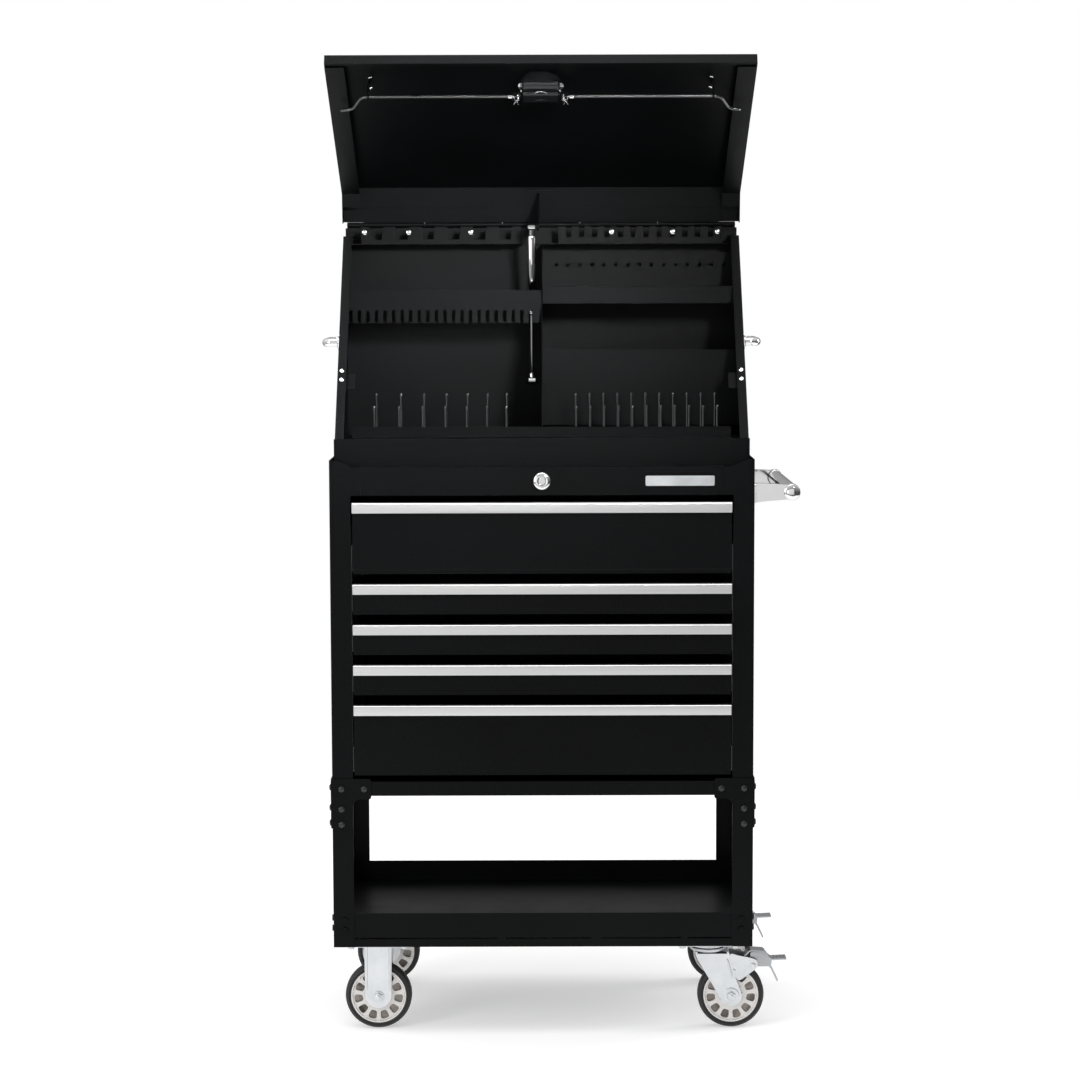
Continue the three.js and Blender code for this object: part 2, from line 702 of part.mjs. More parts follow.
function leftRack() {
  const top = boxFloor + 315;
  const low = top - 61;
  const front = underLidAt(top, 0)[0] + 40;
  const left = -boxInnerX + touch;
  const right = dividerX - touch;
  const pitch = (right - left - 20) / 22;
  const teeth = Array.from({ length: 22 }, (_, i) => {
    const x = left + 12 + i * pitch;
    return box(x, x + pitch * 0.4, front - 1, front + 3, low - 1, low + 24);
  });
  const plate = alongX(folded([[front + 14, low], [front, low], [front, top], [front + 14, top]]), left, right);
  const floorCut = box(strutX - 14, right + 1, front + sheet, front + 20, low - 1, top + 1);
  return cut(plate, floorCut, ...teeth);
}

const tierZ = boxFloor + 320;
const tierFront = underLidAt(tierZ, rimDrop)[0] + 6;
const pocketFront = boxBack - 160;

function rightTier() {
  const left = dividerX + sheet + touch;
  const right = boxInnerX - touch;
  const riser = rackBack - 40;
  const stepped = folded([
    [rackBack, tierZ + 64], [riser, tierZ + 64], [riser, tierZ], [tierFront, tierZ], [tierFront, tierZ - 30],
  ].reverse(), -sheet);
  const holes = Array.from({ length: 15 }, (_, i) => alongY(
    arc(left + 26 + i * (right - left - 52) / 14, tierZ + 42, 4, 0, 360, 6), riser - 2, riser + 4,
  ));
  const shelf = cut(alongX(stepped.reverse(), left, right), ...holes);
  const pocket = alongX(folded([
    [pocketFront, boxFloor + 64], [pocketFront, boxFloor + 204],
  ]), left, right);
  const pocketFloor = box(left, right, pocketFront + 0.5, rackBack, boxFloor + 112, boxFloor + 112 + sheet);
  const partition = box(left + 110, left + 110 + sheet, pocketFront + 0.5, rackBack, boxFloor + 112, boxFloor + 196);
  const spine = box(left, right, rackBack - sheet, rackBack, boxFloor + 112, tierZ + 64);
  return join(shelf, pocket, pocketFloor, partition, spine);
}

const pegDeck = { front: stripFront + 10, depth: 120 };
const pegRows = [[stripFront + 30, 60], [stripFront + 100, 80]];    // places and heights
const pegHalf = 2;
const leftPegs = { count: 7, first: -304, pitch: 45, narrowing: 2 };
const rightPegs = { count: 11, first: 63, pitch: 25.6, narrowing: 0 };

function pliersRack() {
  const half = boxInnerX - touch;
  const low = boxFloor + sheet + touch;
  const back = pegDeck.front + pegDeck.depth;
  const deck = alongX(folded([
    [pegDeck.front, low], [pegDeck.front, pegDeckTop], [back, pegDeckTop], [back, low],
  ]), -half, half);
  const places = [leftPegs, rightPegs].flatMap(({ count, first, pitch, narrowing }) => (
    Array.from({ length: count }, (_, i) => first + i * pitch - narrowing * i * (i - 1) / 2)
  ));
  const pegs = places.flatMap((x) => pegRows.map(([y, height]) => box(
    x - pegHalf, x + pegHalf, y - pegHalf, y + pegHalf, pegDeckTop - 1, pegDeckTop + height,
  )));
  return join(deck, ...pegs);
}

// ---------------------------------------------------------------- lid, drawn closed around the hinge axis
const lid = new THREE.Group();
lid.position.set(0, hinge.y, hinge.z);
lid.rotation.x = -openTurn;
chest.add(lid);

const lidHalf = lidWidth / 2;
const toHinge = ([y, z]) => [y - hinge.y, z - hinge.z];
const lidStart = knuckle + 1.2;
const latchUp = 84;           // latch centre up the slant
const latchRadius = 34;
const guideX = 306;
const rodUp = 89;
const rodDepth = 30;

function lidShell() {
  const edge = toHinge(lidEdge);
  const fold = toHinge(foldPoint);
  const rimEdge = toHinge(underLid(0, lidDepth - 2.5));
  const hem = toHinge(underLid(8, lidDepth - 2.5));
  const skin = alongX(
    folded([[-lidStart, 0], fold, edge, rimEdge, hem].reverse(), sheet), -lidHalf, lidHalf,
  );
  const innerFold = [fold[0] + lidDepth * Math.tan((Math.PI / 2 - slant) / 2), fold[1] - lidDepth];
  const flank = [[-lidStart, 0], fold, edge, rimEdge, toHinge(underLid(lipStart, lidDepth)), innerFold,
    [-lidStart, -lidDepth]];
  const walls = [-1, 1].map((side) => alongX(flank, side * (lidHalf - sheet), side * lidHalf));
  const lips = [-1, 1].map((side) => alongX(
    folded([toHinge(underLid(lipStart, lidDepth)), innerFold, [-lidTop / 2, -lidDepth]], -sheet).reverse(),
    side * (lidHalf - lidLip), side * (lidHalf - 0.5),
  ));
  const guides = [-1, 1].map((side) => cut(
    alongX([underLid(rodUp - 9, 1), underLid(rodUp + 9, 1), underLid(rodUp + 9, rodDepth + 8),
      underLid(rodUp - 9, rodDepth + 8)].map(toHinge), side * (guideX - 1.5), side * (guideX + 1.5)),
    alongX(arc(...toHinge(underLid(rodUp, rodDepth)), 3 + run + 0.3), side * (guideX - 3), side * (guideX + 3)),
  ));
  const foot = box(-26, 26, -lidTop + 6, -lidStart - 3, -sheet - 3, -sheet + 0.5);
  const eye = [-strutEye.along, -strutEye.depth];
  const arm = alongX([[-lidTop + 10, -sheet], ...arc(...eye, 7, 200, 360, 6), [-lidStart - 6, -sheet]]
    .reverse(), -6.5, -3.5);
  const stud = alongX(arc(...eye, 4), -4, strutX + 8);
  const opening = disc(0, 0, latchRadius + touch, -3, 5, 24);
  const placedOpening = onPanel(opening);
  return cut(join(skin, ...walls, ...lips, ...guides, foot, arm, stud), placedOpening);
}

// Latch pieces are drawn round a local z axis that points out of the lid's face
function onPanel(geometry) {
  const [y, z] = toHinge(underLid(latchUp, 0));
  return geometry.clone().rotateX(Math.PI / 2 - slant).translate(0, y, z);
}

const latchDepth = 24;

function latchHousing() {
  const flange = disc(0, 0, latchRadius + 10, touch, touch + sheet, 24);
  const cup = disc(0, 0, latchRadius, -latchDepth, touch + sheet, 24);
  const hollow = disc(0, 0, latchRadius - sheet, -latchDepth + sheet, touch + sheet + 1, 24);
  const cradle = box(-35, 35, -30, 34, -latchDepth - 10, -latchDepth + 0.5);
  const cradleHollow = box(-33, 33, -31, 32.5, -latchDepth - 8.5, -latchDepth - 1);
  const bore = disc(0, 0, 5 + run, -latchDepth - 12, 0, 12);
  return onPanel(cut(join(flange, cup, cradle), hollow, cradleHollow, bore));
}

function latchHandle() {
  const shaft = disc(0, 0, 5, -latchDepth - 7.5, -9, 12);
  const bar = box(-28, 28, -6, 6, -14, -3);
  const cam = disc(0, 0, 13, -latchDepth - 7.5, -latchDepth - 2, 16);
  return onPanel(join(shaft, bar, cam));
}

// Bent rod from the latch out to the strike, with its forked clevis
function lockRod(side) {
  const rise = catchAt - rodUp;
  const inner = 50;
  const at = (x, up) => new THREE.Vector3(x * side, ...toHinge(underLid(up, rodDepth)));
  const stations = [
    [inner, rodUp], [guideX + 12, rodUp], [guideX + 30, catchAt - 0.08 * rise], [boxX - 16.3, catchAt],
  ];
  const segments = stations.slice(1).map((end, i) => rodBetween(at(...stations[i]), at(...end)));
  const elbows = stations.slice(1, -1).map((station) => ball(at(...station)));
  const clevis = alongX([underLid(rodUp - 7, rodDepth - 5), underLid(rodUp + 7, rodDepth - 5),
    underLid(rodUp + 7, rodDepth + 5), underLid(rodUp - 7, rodDepth + 5)].map(toHinge), side * 36.5, side * 51);
  return join(clevis, ...segments, ...elbows);
}

function rodBetween(from, to) {
  const length = from.distanceTo(to);
  const geometry = new THREE.CylinderGeometry(3, 3, length, 8);
  const turn = new THREE.Quaternion().setFromUnitVectors(
    new THREE.Vector3(0, 1, 0), to.clone().sub(from).normalize(),
  );
  const middle = from.clone().add(to).multiplyScalar(0.5);
  return geometry.applyQuaternion(turn).translate(middle.x, middle.y, middle.z);
}

function ball(at) {
  return new THREE.SphereGeometry(3.02, 8, 5).translate(at.x, at.y, at.z);
}

// ---------------------------------------------------------------- hinge
const knuckleCount = 5;
const hingeHalf = boxX - 34;

function knuckles(which, inner) {
  const pitch = 2 * hingeHalf / knuckleCount;
  const list = [];
  for (let i = which; i < knuckleCount; i += 2) {
    const x0 = -hingeHalf + i * pitch + touch;
    const barrel = alongX(arc(0, 0, knuckle, 0, 360, 10), x0, x0 + pitch - 2 * touch);
    list.push(inner ? cut(barrel, alongX(arc(0, 0, inner, 0, 360, 10), x0 - 1, x0 + pitch)) : barrel);
  }
  return list;
}

function hingeBoxLeaf() {
  const y0 = boxBack + touch - hinge.y;
  const leaf = box(-hingeHalf, hingeHalf, y0, y0 + sheet, -36, -knuckle - 1);
  const ties = knuckles(0).map((barrel) => {
    barrel.computeBoundingBox();
    const { min, max } = barrel.boundingBox;
    return box(min.x, max.x, y0, y0 + sheet, -knuckle - 1.5, 0.5);
  });
  const pin = alongX(arc(0, 0, hingePin, 0, 360, 10), -hingeHalf, hingeHalf);
  return join(leaf, ...ties, ...knuckles(0), pin).translate(0, hinge.y, hinge.z);
}

function hingeLidLeaf() {
  const top = -sheet - touch;
  const reach = 34;
  const leaf = cut(
    box(-hingeHalf, hingeHalf, -reach, -knuckle - 0.8, top - sheet, top),
    box(-26.5, 26.5, -reach - 1, -lidStart - 2, top - sheet - 1, top + 1),
  );
  const barrels = knuckles(1, hingePin + run);
  const ties = barrels.map((barrel) => {
    barrel.computeBoundingBox();
    const { min, max } = barrel.boundingBox;
    return box(min.x, max.x, -knuckle - 1.2, -knuckle + 0.9, top - sheet, top);
  });
  return join(leaf, ...ties, ...barrels);
}

// ---------------------------------------------------------------- handles
function pushHandle() {
  const x0 = sideX + touch;
  const gripX = sideX + 70;
  const gripZ = railBottom + 2;
  const places = [40, cabinetDepth - 50];
  const parts = places.flatMap((y) => [
    box(x0, x0 + 4, y - 16, y + 16, gripZ - 22, gripZ + 16),
    alongY([[x0 + 2, gripZ - 18], [gripX - 2, gripZ - 9], [gripX - 2, gripZ + 9], [x0 + 2, gripZ + 13]], y - 9, y + 9),
    alongY(arc(gripX, gripZ, 12.5, 0, 360, 14), y - 11, y + 11),
  ]);
  return join(alongY(arc(gripX, gripZ, 10.5, 0, 360, 14), places[0], places[1]), ...parts);
}

function carryHandle(side) {
  const x0 = side * (boxX + touch);
  const x1 = side * (boxX + 27);
  const z = boxFloor + 219;
  const y0 = boxBack - 165;
  const y1 = boxBack - 45;
  const ends = [y0, y1].flatMap((y) => [
    box(x0, x0 + side * 3, y - 12, y + 12, z - 16, z + 16),
    alongX(arc(y, z, 8), x0 + side * 2, x1),
    new THREE.SphereGeometry(8.8, 10, 6).translate(x1, y, z),
  ]);
  return join(alongY(arc(x1, z, 8), y0, y1), ...ends);
}

// ---------------------------------------------------------------- assembly
piece(chest, 'cabinet_shell', cabinetShell(), 'steel');
piece(chest, 'cabinet_deck', cabinetDeck(), 'steel');
piece(chest, 'top_rail', topRail(), 'steel');
piece(chest, 'cabinet_floor', cabinetFloor(), 'steel');
piece(chest, 'left_slide_rails', slideRails(-1), 'zinc');
piece(chest, 'right_slide_rails', slideRails(1), 'zinc');
piece(chest, 'lower_tray', lowerTray(), 'steel');
piece(chest, 'lock_body', lockBody(), 'chrome');
piece(chest, 'lock_plug', lockPlugBody(), 'chrome');
piece(chest, 'push_handle', pushHandle(), 'chrome');

for (const drawer of drawers) {
  piece(chest, `${drawer.name}_box`, drawerBox(drawer), 'steel');
  piece(chest, `${drawer.name}_pull`, drawerPull(drawer), 'aluminium');
}

const corners = [['front_left', -1, -1], ['front_right', 1, -1], ['rear_left', -1, 1], ['rear_right', 1, 1]];
for (const [place, side, end] of corners) {
  piece(chest, `${place}_leg`, toCorner(leg(), side, end), 'steel');
  piece(chest, `${place}_bracket`, toCorner(cornerBracket(), side, end), 'steel');
  const caster = new THREE.Group();
  caster.position.set(side * casterSide, end < 0 ? casterInset : cabinetDepth - casterInset, 0);
  chest.add(caster);
  const wheel = piece(caster, `${place}_wheel`, wheelBody(), 'wheel');
  wheel.position.set(side > 0 ? casterTrail : 0, 0, wheelRadius);
  if (side < 0) {
    piece(caster, `${place}_fork`, rigidFork(), 'zinc');
  } else {
    piece(caster, `${place}_swivel_plate`, swivelPlate(), 'zinc');
    piece(caster, `${place}_fork`, swivelFork(), 'zinc');
    piece(caster, `${place}_brake_pedal`, brakePedal(), 'zinc');
  }
}

piece(chest, 'toolbox_base', toolboxBase(), 'steel');
piece(chest, 'toolbox_left_side', toolboxSide(-1), 'steel');
piece(chest, 'toolbox_right_side', toolboxSide(1), 'steel');
piece(chest, 'toolbox_back', toolboxBack(), 'steel');
piece(chest, 'center_divider', centreDivider(), 'steel');
piece(chest, 'top_rack', topRack(), 'steel');
piece(chest, 'left_rack', leftRack(), 'steel');
piece(chest, 'right_tier', rightTier(), 'steel');
piece(chest, 'pliers_rack', pliersRack(), 'steel');
piece(chest, 'left_carry_handle', carryHandle(-1), 'chrome');
piece(chest, 'right_carry_handle', carryHandle(1), 'chrome');
piece(chest, 'hinge_box_leaf', hingeBoxLeaf(), 'steel');

piece(lid, 'lid_shell', lidShell(), 'steel');
piece(lid, 'hinge_lid_leaf', hingeLidLeaf(), 'steel');
piece(lid, 'latch_housing', latchHousing(), 'steel');
piece(lid, 'latch_handle', latchHandle(), 'chrome');
piece(lid, 'left_lock_rod', lockRod(-1), 'zinc');
piece(lid, 'right_lock_rod', lockRod(1), 'zinc');

const strut = new THREE.Group();
strut.position.set(strutX, strutFoot.y, strutFoot.z);
strut.rotation.x = Math.atan2(strutFoot.y - strutHead.y, strutHead.z - strutFoot.z);
chest.add(strut);
piece(strut, 'strut_rod', strutRodBody(), 'chrome');
piece(strut, 'strut_tube', strutTubeBody(), 'chrome');

// Stand the chest on the middle of its own footprint
const extent = new THREE.Box3().setFromObject(chest, true);
const middle = extent.getCenter(new THREE.Vector3());
chest.position.set(-middle.x, -middle.y, -extent.min.z);

export default chest;
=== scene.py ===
# %% [markdown]
# # A rolling tool chest
# The object is a five-drawer steel cabinet on an open stand with casters, and a slant-front
# toolbox with its lid up. The CAD model already has every solid in its right place and size, so
# this script does two jobs: it gives each sheet-steel solid a worked material, and it replaces
# the solids that are round or cast in real life with smooth surfaces computed with numpy.

# %% Load the fixed frame
import json
from math import atan2, cos, pi, radians, sin

import bmesh
import bpy
import numpy as np
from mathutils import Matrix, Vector


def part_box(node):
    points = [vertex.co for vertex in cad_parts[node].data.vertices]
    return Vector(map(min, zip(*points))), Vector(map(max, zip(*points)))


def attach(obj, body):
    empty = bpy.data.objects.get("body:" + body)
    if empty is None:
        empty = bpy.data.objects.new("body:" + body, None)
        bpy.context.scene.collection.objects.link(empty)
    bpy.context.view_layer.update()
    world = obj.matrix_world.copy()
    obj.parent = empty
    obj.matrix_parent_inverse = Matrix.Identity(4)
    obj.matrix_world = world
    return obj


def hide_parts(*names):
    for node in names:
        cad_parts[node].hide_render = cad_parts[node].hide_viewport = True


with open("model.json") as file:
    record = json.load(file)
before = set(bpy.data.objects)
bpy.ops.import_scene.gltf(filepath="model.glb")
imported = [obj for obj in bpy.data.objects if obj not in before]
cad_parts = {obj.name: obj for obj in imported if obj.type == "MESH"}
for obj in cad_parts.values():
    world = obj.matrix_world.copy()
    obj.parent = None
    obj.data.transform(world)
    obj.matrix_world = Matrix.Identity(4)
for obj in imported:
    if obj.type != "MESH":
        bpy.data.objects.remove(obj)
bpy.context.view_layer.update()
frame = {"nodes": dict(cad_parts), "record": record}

# %% [markdown]
# ## Where things are
# A maker of such a chest measures from the front of the cabinet, its middle and the floor. The
# pieces below are drawn that way in millimetres, and one function turns them into metres in the
# frame. The origin comes from the cabinet shell's own box, so nothing is typed in twice.

# %% Millimetres on the cabinet to metres in the frame
shell_low, shell_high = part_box("cabinet_shell")
ORIGIN = np.array([(shell_low.x + shell_high.x) / 2, shell_low.y, 0.0])


def placed(points):
    """Metres in the frame: the millimetre points over a thousand, plus the origin."""
    return np.asarray(points, float) / 1000 + ORIGIN


def node_mm(name):
    """Lowest and highest corner of a CAD node, in millimetres on the cabinet."""
    return [(np.array(corner) - ORIGIN) * 1000 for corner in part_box(name)]


cabinet_low, cabinet_high = node_mm("cabinet_shell")
SIDE = cabinet_high[0]
DEPTH = cabinet_high[1]
TOUCH = 0.3
print("cabinet", round(2 * SIDE, 1), "wide", round(DEPTH, 1), "deep")

# %% [markdown]
# ## Surfaces from arrays
# Every new piece is a grid of points. Turning a profile gives wheels, screws and knobs. Carrying
# a section along a path gives tubes and rods. Pushing a flat outline straight gives plates. All
# three return points and faces, so they can be put together before they become one mesh.

# %% Grids of faces
def grid_faces(rows, columns, close_rows=False, close_columns=False):
    """Four-sided faces between neighbouring points of a rows by columns grid."""
    number = np.arange(rows * columns).reshape(rows, columns)
    if close_rows:
        number = np.vstack([number, number[:1]])
    if close_columns:
        number = np.hstack([number, number[:, :1]])
    corners = [number[:-1, :-1], number[:-1, 1:], number[1:, 1:], number[1:, :-1]]
    return np.stack(corners, -1).reshape(-1, 4).tolist()


def together(*shells):
    """Several shells as one: points stacked, face numbers moved up by the points before."""
    points, faces, start = [], [], 0
    for some_points, some_faces in shells:
        points.append(np.asarray(some_points, float))
        faces += [[start + i for i in face] for face in some_faces]
        start += len(some_points)
    return np.vstack(points), faces


def moved(shell, by):
    """The same shell, shifted."""
    return shell[0] + np.asarray(by, float), shell[1]


def mirrored(shell):
    """The same shell on the other side of the middle."""
    return shell[0] * (-1, 1, 1), shell[1]


# %% [markdown]
# A lathe, a bent bar and a punched plate are the three ways that the pieces here are really made,
# so there is one function for each. An angle and a height, a step along a path and a step round a
# section, or a point of an outline and its depth are the two parameters of the grid.

# %% Turning, carrying and pushing
def axes_of(axis):
    """Two directions square to an axis and to each other, and the axis itself."""
    along = np.asarray(axis, float)
    along = along / np.linalg.norm(along)
    helper = (1.0, 0, 0) if abs(along[0]) < 0.9 else (0, 0, 1.0)
    side = np.cross(along, helper)
    side = side / np.linalg.norm(side)
    return side, np.cross(along, side), along


def turned(profile, centre, axis, turns=48, ring=False):
    """Point = centre + radius * (cos a * side + sin a * other) + height * axis, for each
    (radius, height) of the profile and each angle a. A ring joins its last pair to its first."""
    radius, height = np.asarray(profile, float).T
    side, other, along = axes_of(axis)
    angle = np.arange(turns) * 2 * pi / turns
    spokes = np.outer(np.cos(angle), side) + np.outer(np.sin(angle), other)
    points = radius[:, None, None] * spokes + height[:, None, None] * along
    faces = grid_faces(len(radius), turns, close_rows=ring, close_columns=True)
    if not ring:
        last = (len(radius) - 1) * turns
        faces += [list(range(turns)), list(range(last, last + turns))]
    return points.reshape(-1, 3) + np.asarray(centre, float), faces


def carried(path, section, normal, size=None):
    """A closed section carried along a flat path. Point = path + size * (u * side + v * normal),
    where side is square to the path's direction and to the normal of its plane."""
    path = np.asarray(path, float)
    heading = np.gradient(path, axis=0)
    heading /= np.linalg.norm(heading, axis=1)[:, None]
    normal = np.asarray(normal, float)
    side = np.cross(heading, normal)
    size = np.ones(len(path)) if size is None else np.asarray(size, float)
    u, v = np.asarray(section, float).T
    across = u[None, :, None] * side[:, None] + v[None, :, None] * normal
    points = path[:, None] + size[:, None, None] * across
    count = len(u)
    faces = grid_faces(len(path), count, close_columns=True)
    last = (len(path) - 1) * count
    faces += [list(range(count)), list(range(last, last + count))]
    return points.reshape(-1, 3), faces


def pushed(outline, low, high, across):
    """A flat outline pushed straight from low to high along the named axis. The outline's two
    numbers are the other two axes, in order."""
    outline = np.asarray(outline, float)
    index = "xyz".index(across)
    points = np.zeros((2, len(outline), 3))
    points[:, :, [i for i in range(3) if i != index]] = outline
    points[0, :, index] = low
    points[1, :, index] = high
    count = len(outline)
    faces = grid_faces(2, count, close_columns=True)
    faces += [list(range(count)), list(range(count, 2 * count))]
    return points.reshape(-1, 3), faces


# %% [markdown]
# Folded sheet has no sharp corner, so most outlines start as a few straight lines whose corners
# are then curved. A sheet of even thickness is such a line and the same line set to one side.

# %% Lines and outlines
def circle(radius, steps=20, centre=(0, 0)):
    """Points at equal angles round a centre."""
    angle = np.arange(steps) * 2 * pi / steps
    return np.stack([np.cos(angle), np.sin(angle)], 1) * radius + centre


def arc(centre, radius, start, end, steps):
    """Points of an arc, angles in degrees."""
    angle = np.radians(np.linspace(start, end, steps + 1))
    return (np.stack([np.cos(angle), np.sin(angle)], 1) * radius + centre).tolist()


def softened(line, radius, steps=6, closed=False):
    """The corners of a line replaced by curves: (1-t)^2 a + 2t(1-t) corner + t^2 b, where a and
    b are on the two sides at the given distance from the corner."""
    line = [np.asarray(p, float) for p in line]
    count = len(line)
    t = np.linspace(0, 1, steps + 1)[:, None]
    out = [] if closed else [line[0][None]]
    for i in range(0 if closed else 1, count if closed else count - 1):
        corner, before, after = line[i], line[i - 1], line[(i + 1) % count]
        reach = [min(radius, np.linalg.norm(p - corner) / 2.05) for p in (before, after)]
        a, b = [corner + (p - corner) / np.linalg.norm(p - corner) * r
                for p, r in zip((before, after), reach)]
        out.append((1 - t) ** 2 * a + 2 * t * (1 - t) * corner + t ** 2 * b)
    if not closed:
        out.append(line[-1][None])
    return np.vstack(out)


def folded(line, thickness, radius=2.0):
    """The outline of a folded sheet: a softened line, and the same line a sheet's thickness to
    its right, gone back along."""
    line = softened(line, radius, 4)
    step = np.diff(line, axis=0)
    step /= np.linalg.norm(step, axis=1)[:, None]
    right = np.stack([step[:, 1], -step[:, 0]], 1)
    before, after = np.vstack([right[:1], right]), np.vstack([right, right[-1:]])
    mitre = (before + after) / (1 + (before * after).sum(1))[:, None]
    return np.vstack([line, (line + mitre * thickness)[::-1]])


def block(low, high, corner=1.5, across="y"):
    """A rectangular plate with softened corners in its face."""
    index = "xyz".index(across)
    keep = [i for i in range(3) if i != index]
    (a, b), (c, d) = [low[i] for i in keep], [high[i] for i in keep]
    outline = softened([(a, b), (c, b), (c, d), (a, d)], corner, 5, closed=True)
    return pushed(outline, low[index], high[index], across)


print("a square with curved corners has", len(softened([(0, 0), (9, 0), (9, 9), (0, 9)], 2,
                                                       closed=True)), "points")

# %% [markdown]
# ## One mesh for each piece
# Points and faces become a mesh at the origin. Smooth shading hides the facets of a round, and
# edges over the crease angle stay sharp. A narrow Bevel modifier then rounds those edges, since
# an edge with no width never catches the light.

# %% Make a piece
render_levels = 2


def piece(name, shell, finish, body, stands_for=(), crease=32, bevel=0.0):
    """One mesh at the origin: the placed points, doubles merged and normals turned outwards,
    smooth except along edges sharper than crease. A bevel in millimetres rounds those edges."""
    points, faces = shell
    mesh = bpy.data.meshes.new(name)
    mesh.from_pydata(placed(points).tolist(), [], faces)
    work = bmesh.new()
    work.from_mesh(mesh)
    bmesh.ops.remove_doubles(work, verts=work.verts, dist=4e-6)
    bmesh.ops.recalc_face_normals(work, faces=work.faces)
    work.to_mesh(mesh)
    work.free()
    mesh.shade_smooth()
    mesh.set_sharp_from_angle(angle=radians(crease))
    mesh.materials.append(finish)
    obj = bpy.data.objects.new(name, mesh)
    bpy.context.scene.collection.objects.link(obj)
    if bevel:
        rounding = obj.modifiers.new("edges", "BEVEL")
        rounding.width = bevel / 1000
        rounding.segments = render_levels
        rounding.limit_method = "ANGLE"
        rounding.angle_limit = radians(crease)
        rounding.harden_normals = True
    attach(obj, body)
    if stands_for:
        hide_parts(*stands_for)
    return obj


# %% [markdown]
# ## Finishes
# Two effects come back in several finishes, so each is one node group. The first is the skin of
# a baked powder coat: a fine orange peel, with slow changes of gloss and colour over a panel, and
# pale flecks in the colour that are painted glints. The second is the grain that rolling or
# drawing leaves in bright metal. Both read the object's own coordinates, so they stay put when a
# part moves.

# %% Node helpers
def group(name, inputs, outputs):
    """An empty node group with named float inputs and named outputs."""
    tree = bpy.data.node_groups.new(name, "ShaderNodeTree")
    for label, kind, value in inputs:
        socket = tree.interface.new_socket(label, in_out="INPUT", socket_type=kind)
        if value is not None:
            socket.default_value = value
    for label, kind in outputs:
        tree.interface.new_socket(label, in_out="OUTPUT", socket_type=kind)
    return tree, tree.nodes.new("NodeGroupInput"), tree.nodes.new("NodeGroupOutput")


def node(tree, kind, **settings):
    """A node with some of its properties set."""
    new = tree.nodes.new(kind)
    for key, value in settings.items():
        setattr(new, key, value)
    return new


def combined(tree, operation, a, b):
    """A math node; each operand is a socket or a number."""
    new = node(tree, "ShaderNodeMath", operation=operation)
    for socket, value in zip(new.inputs, (a, b)):
        if isinstance(value, (int, float)):
            socket.default_value = value
        else:
            tree.links.new(value, socket)
    return new.outputs[0]


def noise(tree, vector, scale, detail=2.0, roughness=0.5):
    """A noise texture's value from 0 to 1."""
    new = node(tree, "ShaderNodeTexNoise")
    tree.links.new(vector, new.inputs["Vector"])
    if isinstance(scale, (int, float)):
        new.inputs["Scale"].default_value = scale
    else:
        tree.links.new(scale, new.inputs["Scale"])
    new.inputs["Detail"].default_value = detail
    new.inputs["Roughness"].default_value = roughness
    return new.outputs["Fac"]


def ranged(tree, value, low, high, start=0.0, end=1.0):
    """A value from start..end carried to low..high."""
    new = node(tree, "ShaderNodeMapRange")
    tree.links.new(value, new.inputs["Value"])
    for label, number in (("From Min", start), ("From Max", end), ("To Min", low), ("To Max", high)):
        new.inputs[label].default_value = number
    return new.outputs["Result"]


# %% [markdown]
# Baked powder flows before it sets, which leaves a skin like orange peel. It's made here from
# noise at two sizes. A third, slow noise changes the colour over a panel, as dust and wiping do.
# A fourth noise adds pale flecks to the colour: painted glints, where a lamp would pick
# highlights out of the peel.

# %% Powder coat group
def powder_group():
    """Height = fine peel + a little coarse peel. Gloss = slow noise over the panel. The third
    output = the same, plus pale flecks painted into the colour as glints, the highlights that a
    lamp picks out of the peel."""
    tree, inner, outer = group(
        "powder_coat",
        [("Vector", "NodeSocketVector", None), ("Peel", "NodeSocketFloat", 700.0)],
        [("Height", "NodeSocketFloat"), ("Gloss", "NodeSocketFloat"), ("Tone_and_glints", "NodeSocketFloat")],
    )
    vector = inner.outputs["Vector"]
    fine = noise(tree, vector, inner.outputs["Peel"], 3.0, 0.6)
    coarse = noise(tree, vector, combined(tree, "MULTIPLY", inner.outputs["Peel"], 0.22), 1.0)
    height = combined(tree, "ADD", fine, combined(tree, "MULTIPLY", coarse, 0.6))
    slow = noise(tree, vector, 2.6, 3.0)
    cloudy = noise(tree, vector, 9.0, 4.0, 0.6)
    tree.links.new(height, outer.inputs["Height"])
    tree.links.new(ranged(tree, cloudy, 0.0, 1.0, 0.3, 0.7), outer.inputs["Gloss"])
    # Pale flecks for the colour: painted glints, the highlights that a lamp picks out of the peel.
    glint_noise = noise(tree, vector, combined(tree, "MULTIPLY", inner.outputs["Peel"], 0.6), 1.0)
    painted_glints = ranged(tree, glint_noise, 0.0, 0.8, 0.62, 0.78)
    tone_and_glints = combined(tree, "ADD", ranged(tree, slow, 0.0, 0.3, 0.3, 0.7), painted_glints)
    tree.links.new(tone_and_glints, outer.inputs["Tone_and_glints"])
    return tree


# %% [markdown]
# Drawn and rolled metal has fine lines along the direction that it was worked in. Noise whose
# coordinates are stretched gives them, and the stretch is an input, since each metal has its own.

